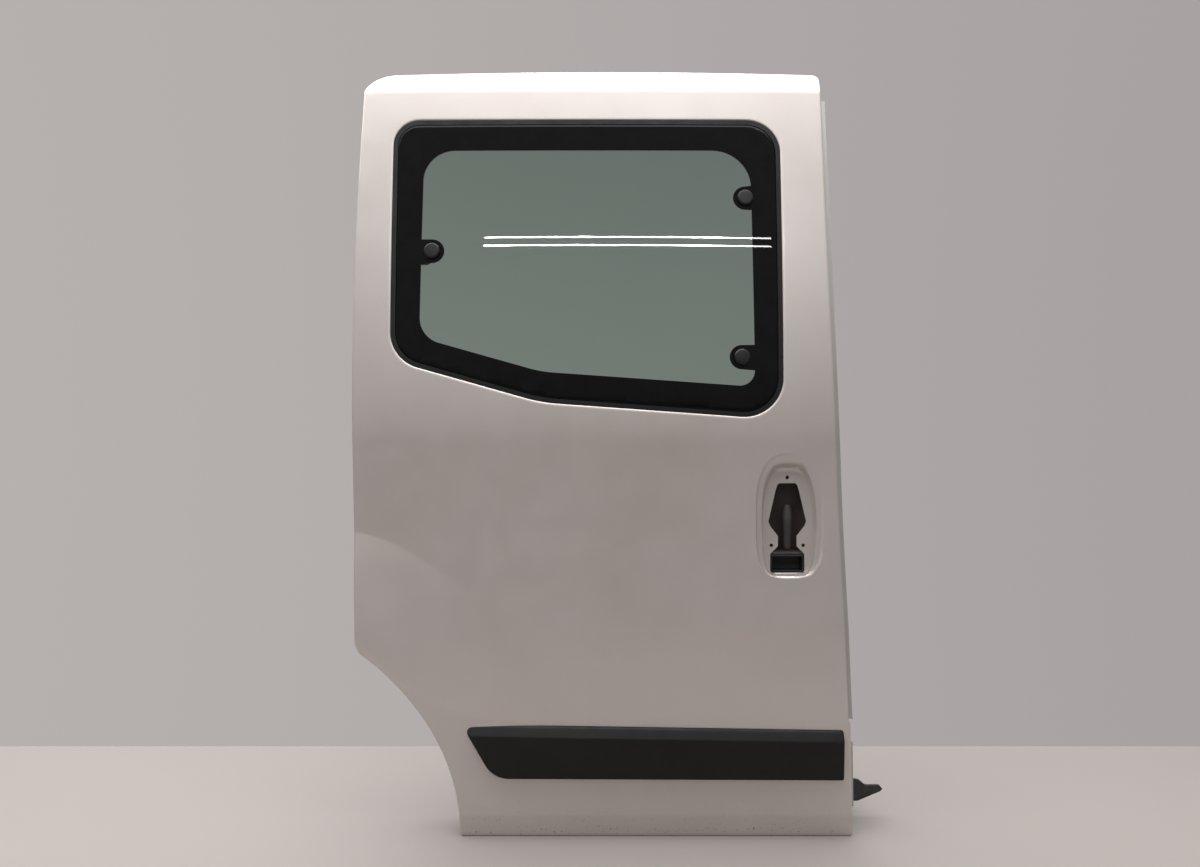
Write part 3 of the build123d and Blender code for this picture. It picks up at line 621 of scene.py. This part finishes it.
# outer skin
skinMesh = {"bands": (1.0, 2.2, 4.5), "creaseFrom": 6, "creaseRun": 780, "creaseStep": 3,
            "creaseShifts": (-7, -4, -2, 0, 2, 4, 7), "spacing": 7.0, "clear": 2.4,
            "edgeGap": 0.8, "holeGap": 0.5, "turnWidth": 2.2, "turnDepth": 0.9}


def recessRings():  # rings of points from the panel down to the recess floor
    rings = []
    steps = (("outer", handle["apron"], "outer", 5), ("outer", 1, "ring", 12), ("ring", 1, "floor", 10))
    for first, grow, second, count in steps:
        for i in range(count):
            t = i / count
            for k in range(handle["spokes"]):
                angle = 2 * math.pi * k / handle["spokes"]
                a = ovalPoint(handle[first], angle, grow)
                b = ovalPoint(handle[second], angle)
                rings.append((a[0] + (b[0] - a[0]) * t, a[1] + (b[1] - a[1]) * t))
    return rings


def makeSkin():
    outline = doorLoop()
    opening = filletLoop(window["corners"], window["radii"])
    cut = cutLoop()
    holes = [circleLoop(handle["x"] + x, z, handle["holeRadius"], handle["holeSides"])
             for x, z in handle["holes"]]
    extra = []
    for amount in skinMesh["bands"]:  # along the turned edges
        extra += insetLoop(outline, amount)
        extra += insetLoop(opening, -amount)
    for k in range(0, skinMesh["creaseRun"], skinMesh["creaseStep"]):  # along the creases
        x = door["rearLowX"] + skinMesh["creaseFrom"] + k
        for shift in skinMesh["creaseShifts"]:
            extra += [(x, upperCrease(x) + shift), (x, creaseZ + shift), (x, door["hemCreaseZ"] + shift)]
            if x < door["lowEndX"]:
                extra.append((x, lowerCrease(x) + shift))
    pool = np.array(extra + recessRings())
    apart = skinMesh["edgeGap"]
    kept = [insetLoop(opening, -apart), insetLoop(cut, -apart)]
    kept += [insetLoop(hole, -skinMesh["holeGap"]) for hole in holes]
    extra = [tuple(p) for p in pool[insideSheet(pool, insetLoop(outline, apart), kept)]]
    flat, tris = fillOutline(outline, [opening, cut] + holes, [], extra,
                             skinMesh["spacing"], skinMesh["clear"])
    edges = spotTree(outline + opening)

    def front(x, z):
        near = max(0, 1 - gapTo(edges, x, z) / skinMesh["turnWidth"])
        return dishedDepth(x, z) + skinMesh["turnDepth"] * near ** 2  # the sheet turns in at its edges

    def back(x, z):
        return front(x, z) + door["sheet"]

    skin = sheetPiece("doorSkin", flat, tris, front, back)
    skin.data.materials.append(bodyPaint)
    return skin


skin = makeSkin()
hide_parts("outer_skin")
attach(skin, "root")
print("outer skin", len(skin.data.polygons))


# window glass with its black border
def spliceTab(loop, x, z, radius):  # lead the clear area's edge round a cap
    side = 1 if x > 0 else -1
    kept = [p for p in loop if abs(p[1] - z) >= radius or (p[0] - x) * side < 0]
    led = []
    for before, after in zip(kept[-1:] + kept[:-1], kept):
        if (before[1] - z) * (after[1] - z) < 0 and (after[0] - x) * side > 0:
            way = 1 if before[1] > z else -1
            for k in range(window["tabSteps"] + 1):
                angle = math.pi * k / window["tabSteps"]
                led.append((x - side * radius * math.sin(angle), z + way * radius * math.cos(angle)))
        led.append(after)
    return led


def makeGlassPane():
    outer = insetLoop(filletLoop(window["corners"], window["radii"]), window["sealWidth"])
    clear = filletLoop(window["clearCorners"], window["clearRadii"])
    for x, z in window["caps"]:
        clear = spliceTab(clear, x, z, window["tabRadius"])
    shafts = [circleLoop(x, z, window["shaftRadius"], window["shaftSides"]) for x, z in window["caps"]]
    extra = [point for amount in window["groundBands"] for point in insetLoop(outer, amount)]
    flat, tris = fillOutline(outer, shafts, [clear], extra, window["spacing"], window["clear"])
    rim = spotTree(outer)

    def front(x, z):  # flat but for its ground edge
        near = max(0, 1 - gapTo(rim, x, z) / window["groundWidth"])
        return sideDepth(x, z) + window["glassBack"] + window["groundDepth"] * near ** 2

    def back(x, z):
        return sideDepth(x, z) + window["glassBack"] + window["glassThick"]

    pane = sheetPiece("windowGlass", flat, tris, front, back)
    pane.data.materials.append(glassGreen)
    pane.data.materials.append(fritBlack)
    ox, _, oz = door["originAt"]
    middle = np.array([(p.center.x * 1000 + ox, p.center.z * 1000 + oz) for p in pane.data.polygons])
    for polygon, dark in zip(pane.data.polygons, ~insideLoop(middle, clear)):
        polygon.material_index = 1 if dark else 0
    return pane


pane = makeGlassPane()
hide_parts("window_glass")
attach(pane, "root")
print("glass", len(pane.data.polygons))


# side moulding
moulding = {"corners": [(-212, 180), (376.5, 170.5), (376.5, 94), (-165, 96.5)], "radii": (10, 4, 4, 42),
            "proud": 12, "bevel": 16, "bevelDrop": 9, "round": 3.5, "gap": 0.3,
            "straightAt": 150, "thinnest": 1, "bands": (0.7, 1.5, 2.5, 3.8),
            "bevelFrom": 6, "bevelStep": 3, "bevelCount": 190, "bevelShifts": (-1.5, 0, 1.5),
            "edgeGap": 0.5, "spacing": 8.0, "clear": 2.2}


def mouldingTop(x):
    (rearX, rearZ), (frontX, frontZ) = moulding["corners"][:2]
    return rearZ + (frontZ - rearZ) * (x - rearX) / (frontX - rearX)


def makeMoulding():
    outline = filletLoop(moulding["corners"], moulding["radii"])
    extra = []
    for amount in moulding["bands"]:
        extra += insetLoop(outline, amount)
    for k in range(moulding["bevelCount"]):  # along the foot of the bevel
        x = moulding["corners"][0][0] + moulding["bevelFrom"] + moulding["bevelStep"] * k
        extra += [(x, mouldingTop(x) - moulding["bevel"] + shift) for shift in moulding["bevelShifts"]]
    pool = np.array(extra)
    extra = [tuple(p) for p in pool[insideLoop(pool, insetLoop(outline, moulding["edgeGap"]))]]
    flat, tris = fillOutline(outline, [], [], extra, moulding["spacing"], moulding["clear"])
    rim = spotTree(outline)

    def front(x, z):
        bevel = max(0, 1 - (mouldingTop(x) - z) / moulding["bevel"])
        edge = max(0, 1 - gapTo(rim, x, z) / moulding["round"])
        turned = moulding["round"] * (1 - math.sqrt(max(0, 1 - edge * edge)))
        face = panelDepth(moulding["straightAt"], z) - moulding["proud"]
        return face + moulding["bevelDrop"] * bevel + turned

    def back(x, z):
        return max(panelDepth(x, z) - moulding["gap"], front(x, z) + moulding["thinnest"])

    strip = sheetPiece("sideMoulding", flat, tris, front, back)
    strip.data.materials.append(mouldingBlack)
    return strip


strip = makeMoulding()
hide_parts("side_moulding")
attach(strip, "root")


# backing behind the handle cut-out, with its lever
backing = {"radius": 34, "wall": 2, "low": 441.3, "high": 556, "steps": 28, "floorGap": 0.1}
lever = {"x": 2.5, "half": 5.5, "thick": 4, "behind": 11, "sides": 16,
         "rings": ((446, 0), (458, 2), (506, 2), (516, -1))}  # height and growth of each ring


def halfRing(radius, y, z):
    turns = [math.pi * k / backing["steps"] for k in range(backing["steps"] + 1)]
    return [place(handle["x"] + radius * math.cos(t), y + radius * math.sin(t), z) for t in turns]


def leverRing(y, z, grow):
    turns = [2 * math.pi * k / lever["sides"] for k in range(lever["sides"])]
    x = handle["x"] + lever["x"]
    return [place(x + (lever["half"] + grow) * math.cos(t), y + (lever["thick"] + grow) * math.sin(t), z)
            for t in turns]


def makeBacking():
    y0 = sideDepth(handle["x"], handle["z"]) + handle["floorDepth"] + handle["backingGap"]
    inner = backing["radius"] - backing["wall"]
    verts, faces = [], []
    for z in (backing["low"], backing["high"]):
        verts += halfRing(backing["radius"], y0, z) + halfRing(inner, y0, z)
    n = backing["steps"] + 1
    for k in range(n - 1):
        faces += [(k, k + 1, n + k + 1, n + k), (2 * n + k, 3 * n + k, 3 * n + k + 1, 2 * n + k + 1),
                  (k, 2 * n + k, 2 * n + k + 1, k + 1), (n + k, n + k + 1, 3 * n + k + 1, 3 * n + k)]
    for k in (0, n - 1):
        faces.append((k, n + k, 3 * n + k, 2 * n + k))
    base = len(verts)
    for z in (backing["low"], backing["low"] + backing["wall"]):  # floor of the half tube
        verts += halfRing(inner - backing["floorGap"], y0, z)
    faces += [tuple(range(base, base + n)), tuple(range(base + 2 * n - 1, base + n - 1, -1))]
    for k in range(n):
        after = (k + 1) % n
        faces.append((base + k, base + n + k, base + n + after, base + after))
    leverFrom = len(faces)
    first, sides = len(verts), lever["sides"]
    for z, grow in lever["rings"]:
        verts += leverRing(y0 + lever["behind"], z, grow)
    for ring in range(len(lever["rings"]) - 1):
        for k in range(sides):
            a, b = first + ring * sides + k, first + ring * sides + (k + 1) % sides
            faces.append((a, b, b + sides, a + sides))
    faces += [tuple(range(first + sides - 1, first - 1, -1)), tuple(range(len(verts) - sides, len(verts)))]
    piece = newPiece("handleBacking", verts, faces)
    piece.data.materials.append(greyPlastic)
    piece.data.materials.append(leverSteel)
    for polygon in piece.data.polygons[leverFrom:]:
        polygon.material_index = 1
    return piece


backingPiece = makeBacking()
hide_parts("handle_unit")
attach(backingPiece, "root")
print("moulding and handle backing made")


# softened copies of the hard parts
def softenedCopy(node, name, width, segments, finish):
    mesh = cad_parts[node].data.copy()
    mesh.name = name
    bm = bmesh.new()
    bm.from_mesh(mesh)
    bmesh.ops.remove_doubles(bm, verts=bm.verts, dist=2e-6)
    bmesh.ops.dissolve_limit(bm, angle_limit=math.radians(1.5), verts=bm.verts, edges=bm.edges)
    bm.to_mesh(mesh)
    bm.free()
    mesh.materials.clear()
    mesh.materials.append(finish)
    piece = bpy.data.objects.new(name, mesh)
    scene.collection.objects.link(piece)
    bevel = piece.modifiers.new("softEdges", "BEVEL")
    bevel.width = width
    bevel.segments = segments
    bevel.limit_method = "ANGLE"
    bevel.angle_limit = sharpAngles["hard"]
    bevel.harden_normals = False
    evaluated = piece.evaluated_get(bpy.context.evaluated_depsgraph_get())
    finished = bpy.data.meshes.new_from_object(evaluated)
    piece.modifiers.clear()
    piece.data = finished
    finished.shade_smooth()
    finished.set_sharp_from_angle(angle=sharpAngles["hard"])
    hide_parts(node)
    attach(piece, "root")
    return piece


hardParts = {
    "lower_arm": ("lowerArm", 0.0012, 2, blackSteel, "black_steel"),
    "window_cap_upper": ("capUpper", 0.0012, 3, capPlastic, "cap_plastic"),
    "window_cap_lower": ("capLower", 0.0012, 3, capPlastic, "cap_plastic"),
    "window_cap_rear": ("capRear", 0.0012, 3, capPlastic, "cap_plastic"),
    "handle_tray": ("handleTray", 0.0006, 2, blackPlastic, "black_plastic"),
    "release_unit": ("releaseUnit", 0.0015, 2, blackPlastic, "black_plastic"),
    "front_latch": ("frontLatch", 0.0012, 2, platedSteel, "plated_steel"),
    "rear_latch": ("rearLatch", 0.0012, 2, platedSteel, "plated_steel"),
    "centre_hinge_plate": ("centreHingePlate", 0.0006, 2, innerPaint, "inner_paint"),
    "upper_arm_plate": ("upperArmPlate", 0.0008, 2, innerPaint, "inner_paint"),
    "window_latch_lever": ("windowLatchLever", 0.001, 2, blackPlastic, "black_plastic"),
    "window_latch_base": ("windowLatchBase", 0.0006, 2, blackPlastic, "black_plastic"),
}
for node, (name, width, segments, finish, slot) in hardParts.items():
    softenedCopy(node, name, width, segments, finish)

hinges = {"window_hinge_upper": ("windowHingeUpper", 0.0005, 2, window["caps"][0]),
          "window_hinge_lower": ("windowHingeLower", 0.0005, 2, window["caps"][1])}
for node, (name, width, segments, (capX, capZ)) in hinges.items():
    hinge = softenedCopy(node, name, width, segments, blackSteel)
    middle = place(capX, 0, capZ)
    for vertex in hinge.data.vertices:  # corners drawn in to stay behind the black print
        away = Vector((vertex.co.x - middle.x, 0, vertex.co.z - middle.z))
        if away.x < 0 and away.length > window["hingeReach"]:
            vertex.co -= away * (1 - window["hingeReach"] / away.length)

finishes = {
    "inner_lower_panel": innerPaint, "inner_window_frame": innerPaint, "front_lip_upper": innerPaint,
    "front_lip_lower": innerPaint, "window_seal": sealRubber, "latch_rod": platedSteel,
    "intrusion_beam": blackSteel, "door_stop_1": sealRubber, "door_stop_2": sealRubber,
    "panel_plug_1": sealRubber, "panel_plug_2": sealRubber,
}
for node, finish in finishes.items():
    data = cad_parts[node].data
    data.materials.clear()
    data.materials.append(finish)
print("hard parts finished")


# small fasteners, welds and pressed beads
def socketOf(tree, name, kind, value):
    made = tree.interface.new_socket(name=name, in_out="INPUT", socket_type=kind)
    made.default_value = value
    return made


def startTree(name):
    tree = bpy.data.node_groups.new(name, "GeometryNodeTree")
    tree.interface.new_socket(name="Geometry", in_out="INPUT", socket_type="NodeSocketGeometry")
    tree.interface.new_socket(name="Geometry", in_out="OUTPUT", socket_type="NodeSocketGeometry")
    return tree, tree.nodes.new("NodeGroupInput"), tree.nodes.new("NodeGroupOutput")


def endTree(tree, geometry, output, finish):
    real = tree.nodes.new("GeometryNodeRealizeInstances")
    coat = tree.nodes.new("GeometryNodeSetMaterial")
    coat.inputs["Material"].default_value = finish
    tree.links.new(geometry, real.inputs["Geometry"])
    tree.links.new(real.outputs["Geometry"], coat.inputs["Geometry"])
    tree.links.new(coat.outputs["Geometry"], output.inputs["Geometry"])


def timesOf(tree, value, factor):
    made = tree.nodes.new("ShaderNodeMath")
    made.operation = "MULTIPLY"
    made.inputs[1].default_value = factor
    tree.links.new(value, made.inputs[0])
    return made.outputs[0]


headShares = {"top": 0.86, "footReach": 1.35, "footHeight": 0.35, "footSides": 20}


def headTree(name, sides, finish):  # a low head with a wider foot at every point
    tree, start, output = startTree(name)
    radius = socketOf(tree, "Radius", "NodeSocketFloat", 0.005)
    height = socketOf(tree, "Height", "NodeSocketFloat", 0.004)
    nodes, links = tree.nodes, tree.links
    head = nodes.new("GeometryNodeMeshCone")
    head.inputs["Vertices"].default_value = sides
    links.new(start.outputs["Radius"], head.inputs["Radius Bottom"])
    links.new(timesOf(tree, start.outputs["Radius"], headShares["top"]), head.inputs["Radius Top"])
    links.new(start.outputs["Height"], head.inputs["Depth"])
    foot = nodes.new("GeometryNodeMeshCone")
    foot.inputs["Vertices"].default_value = headShares["footSides"]
    links.new(timesOf(tree, start.outputs["Radius"], headShares["footReach"]), foot.inputs["Radius Bottom"])
    links.new(start.outputs["Radius"], foot.inputs["Radius Top"])
    links.new(timesOf(tree, start.outputs["Height"], headShares["footHeight"]), foot.inputs["Depth"])
    both = nodes.new("GeometryNodeJoinGeometry")
    links.new(head.outputs["Mesh"], both.inputs["Geometry"])
    links.new(foot.outputs["Mesh"], both.inputs["Geometry"])
    facing = nodes.new("GeometryNodeInputNamedAttribute")
    facing.data_type = "FLOAT_VECTOR"
    facing.inputs["Name"].default_value = "facing"
    turn = nodes.new("FunctionNodeAlignRotationToVector")
    turn.axis = "Z"
    links.new(facing.outputs["Attribute"], turn.inputs["Vector"])
    spread = nodes.new("GeometryNodeInstanceOnPoints")
    links.new(start.outputs["Geometry"], spread.inputs["Points"])
    links.new(both.outputs["Geometry"], spread.inputs["Instance"])
    links.new(turn.outputs["Rotation"], spread.inputs["Rotation"])
    endTree(tree, spread.outputs["Instances"], output, finish)
    return tree, {"radius": radius.identifier, "height": height.identifier}


def beadTree(name, sides, finish):  # half-round bead along a drawn path
    tree, start, output = startTree(name)
    radius = socketOf(tree, "Radius", "NodeSocketFloat", 0.006)
    nodes, links = tree.nodes, tree.links
    path = nodes.new("GeometryNodeMeshToCurve")
    links.new(start.outputs["Geometry"], path.inputs["Mesh"])
    profile = nodes.new("GeometryNodeCurvePrimitiveCircle")
    profile.inputs["Resolution"].default_value = sides
    links.new(start.outputs["Radius"], profile.inputs["Radius"])
    sweep = nodes.new("GeometryNodeCurveToMesh")
    sweep.inputs["Fill Caps"].default_value = True
    links.new(path.outputs["Curve"], sweep.inputs["Curve"])
    links.new(profile.outputs["Curve"], sweep.inputs["Profile Curve"])
    smooth = nodes.new("GeometryNodeSetShadeSmooth")
    links.new(sweep.outputs["Mesh"], smooth.inputs["Geometry"])
    endTree(tree, smooth.outputs["Geometry"], output, finish)
    return tree, {"radius": radius.identifier}


def grownPiece(name, tree, sockets, values, points, edges, facings):
    mesh = bpy.data.meshes.new(name)
    mesh.from_pydata(points, edges, [])
    if facings:
        store = mesh.attributes.new("facing", "FLOAT_VECTOR", "POINT")
        store.data.foreach_set("vector", [v for facing in facings for v in facing])
    piece = bpy.data.objects.new(name, mesh)
    scene.collection.objects.link(piece)
    grow = piece.modifiers.new("grow", "NODES")
    grow.node_group = tree
    for key, value in values.items():
        grow[sockets[key]] = value
    evaluated = piece.evaluated_get(bpy.context.evaluated_depsgraph_get())
    finished = bpy.data.meshes.new_from_object(evaluated)
    piece.modifiers.clear()
    piece.data = finished
    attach(piece, "root")
    return piece


def alongLoop(loop, spacing):  # evenly spaced places on a closed loop
    places, carried = [], 0.0
    for a, b in zip(loop, loop[1:] + loop[:1]):
        length = math.dist(a, b)
        while carried < length:
            t = carried / length
            places.append((a[0] + (b[0] - a[0]) * t, a[1] + (b[1] - a[1]) * t))
            carried += spacing
        carried -= length
    return places


def headPiece(name, treeName, values, points, finish):  # heads that face the inside of the door
    tree, sockets = headTree(treeName, values["sides"], finish)
    sizes = {key: values[key] for key in sockets}
    grownPiece(name, tree, sockets, sizes, points, [], [(0, 1, 0)] * len(points))


welds = {"inset": 6, "spacing": 52, "behind": 2.7, "sides": 14, "radius": 0.003, "height": 0.0006}
weldPlaces = alongLoop(insetLoop(doorLoop(), welds["inset"]), welds["spacing"])
weldPoints = [place(x, panelDepth(x, z) + welds["behind"], z) for x, z in weldPlaces]
headPiece("spotWelds", "spotWeldTree", welds, weldPoints, innerPaint)

bolts = {"at": [(278, 102), (278, 40), (348, 102)], "y": 100, "sides": 6, "radius": 0.0065, "height": 0.009}
boltPoints = [place(x, bolts["y"], z) for x, z in bolts["at"]]
headPiece("armBolts", "hexBoltTree", bolts, boltPoints, platedSteel)

beads = {"radius": 0.0045, "sides": 12, "y": 95,
         "lines": [[(-160, 172), (220, 172)], [(-120, 470), (150, 470)]],
         # middle, width, height and corner radius of each rim
         "rims": [(-40, 318, 344, 244, 56), (262, 440, 182, 222, 48)]}


def makePressedBeads():
    tree, sockets = beadTree("beadTree", beads["sides"], innerPaint)
    points, edges = [], []
    for line in beads["lines"]:
        first = len(points)
        points += [place(x, beads["y"], z) for x, z in straight(*line, 20) + [line[1]]]
        edges += [(k, k + 1) for k in range(first, len(points) - 1)]
    for x, z, width, height, radius in beads["rims"]:
        left, right, low, high = x - width / 2, x + width / 2, z - height / 2, z + height / 2
        loop = filletLoop([(left, high), (right, high), (right, low), (left, low)], (radius,) * 4, 6)
        first = len(points)
        points += [place(px, beads["y"], pz) for px, pz in loop]
        edges += [(first + k, first + (k + 1) % len(loop)) for k in range(len(loop))]
    grownPiece("pressedBeads", tree, sockets, {"radius": beads["radius"]}, points, edges, [])


makePressedBeads()
print("small parts made")


# floor, light and camera
studio = {"floorColour": (0.305, 0.275, 0.26), "floorFarShade": 0.25, "floorNear": (-2.8, -0.6),
          "floorBack": 0.3245, "floorFront": -7, "floorHalf": 8, "floorGap": 0.0005,
          "wallLitLeft": (0.47, 0.435, 0.425), "wallShadedRight": (0.39, 0.36, 0.365), "wallSpan": (-0.55, 0.55),
          "horizon": 0.1, "sky": 0.6}
lamps = [
    ("ceiling", {"at": (-0.3, -0.15, 2.3), "target": (-0.3, -0.1, 0), "size": (4.0, 2.9), "power": 150}),
    ("rearFill", {"at": (0.3, 2.6, 2.9), "target": (0.3, 0, 0), "size": (2.6, 1.2), "power": 40}),
]
for height in (2.04, 2.11):  # two tubes that glint in the window
    lamps.append(("tube", {"at": (0.53, -3.18, height), "target": (0.53, -0.1, 0.3), "size": (1.84, 0.01),
                           "power": 5.5}))


def makeStage():
    made, nodes, links, shader = material("stagePale")
    where = coords(nodes)
    pale = studio["floorColour"]
    tone = ramp(nodes, links, noise(nodes, links, where, 1.5, 3),
                [(0.3, tuple(v * 0.97 for v in pale)), (0.7, pale)])
    split = nodes.new("ShaderNodeSeparateXYZ")
    links.new(where, split.inputs["Vector"])
    near = nodes.new("ShaderNodeMapRange")  # painted shade: the floor is darker further in front, as if less lit there, which shows in the paint
    near.inputs["From Min"].default_value, near.inputs["From Max"].default_value = studio["floorNear"]
    links.new(split.outputs["Y"], near.inputs["Value"])
    # painted shade: the far floor colour is the pale floor darkened
    far = tuple(v * studio["floorFarShade"] for v in pale)
    links.new(mixed(nodes, links, near.outputs["Result"], far, tone), shader.inputs["Base Color"])
    shader.inputs["Roughness"].default_value = 0.9
    z = place(0, 0, 0).z - studio["floorGap"]
    half, fore, rear = studio["floorHalf"], studio["floorFront"], studio["floorBack"]
    mesh = bpy.data.meshes.new("stageFloor")
    corners = [(-half, fore, z), (half, fore, z), (half, rear, z), (-half, rear, z)]
    mesh.from_pydata(corners, [], [(0, 1, 2, 3)])
    mesh.materials.append(made)
    floor = bpy.data.objects.new("stageFloor", mesh)
    scene.collection.objects.link(floor)


def addLamp(name, values):
    lamp = bpy.data.lights.new(name, "AREA")
    lamp.shape = "RECTANGLE"
    lamp.size, lamp.size_y = values["size"]
    lamp.energy = values["power"]
    made = bpy.data.objects.new(name, lamp)
    made.location = values["at"]
    aim = Vector(values["target"]) - Vector(values["at"])
    made.rotation_euler = aim.to_track_quat("-Z", "Y").to_euler()
    scene.collection.objects.link(made)


def makeWorld():
    world = bpy.data.worlds.new("studioWorld")
    scene.world = world
    world.use_nodes = True
    nodes, links = world.node_tree.nodes, world.node_tree.links
    direction = nodes.new("ShaderNodeTexCoord")
    split = nodes.new("ShaderNodeSeparateXYZ")
    links.new(direction.outputs["Generated"], split.inputs["Vector"])
    low, high = studio["horizon"], studio["sky"]
    tones = ((0.0, low), (0.1, low * 2.5), (0.25, high * 0.7), (0.9, high))
    sky = ramp(nodes, links, split.outputs["Z"], [(at, (tone,) * 3) for at, tone in tones])
    path = nodes.new("ShaderNodeLightPath")  # the backdrop is seen straight or through the glass, painted lighter on the left and darker on the right as painted light and shade
    seen = nodes.new("ShaderNodeMath")
    seen.operation = "MAXIMUM"
    links.new(path.outputs["Is Camera Ray"], seen.inputs[0])
    links.new(path.outputs["Is Transmission Ray"], seen.inputs[1])
    # painted light and shade: the backdrop is lighter on the left and darker on the right
    aside = nodes.new("ShaderNodeMapRange")
    aside.inputs["From Min"].default_value, aside.inputs["From Max"].default_value = studio["wallSpan"]
    links.new(split.outputs["X"], aside.inputs["Value"])
    backdrop = mixed(nodes, links, aside.outputs["Result"], studio["wallLitLeft"], studio["wallShadedRight"])
    wall = mixed(nodes, links, seen.outputs[0], sky, backdrop)
    links.new(wall, nodes["Background"].inputs["Color"])


makeStage()
makeWorld()
for name, values in lamps:
    addLamp(name, values)

view = {"focal": 900, "frame": 1200, "sensor": 36, "height": 629, "away": 1387}
cameraData = bpy.data.cameras.new("photoCamera")
cameraData.sensor_fit = "HORIZONTAL"
cameraData.sensor_width = view["sensor"]
cameraData.lens = view["focal"] / view["frame"] * view["sensor"]
camera = bpy.data.objects.new("photoCamera", cameraData)
camera.location = place(0, -view["away"], view["height"])
camera.rotation_euler = (math.pi / 2, 0, 0)
scene.collection.objects.link(camera)
scene.camera = camera
print("stage, light and camera set")
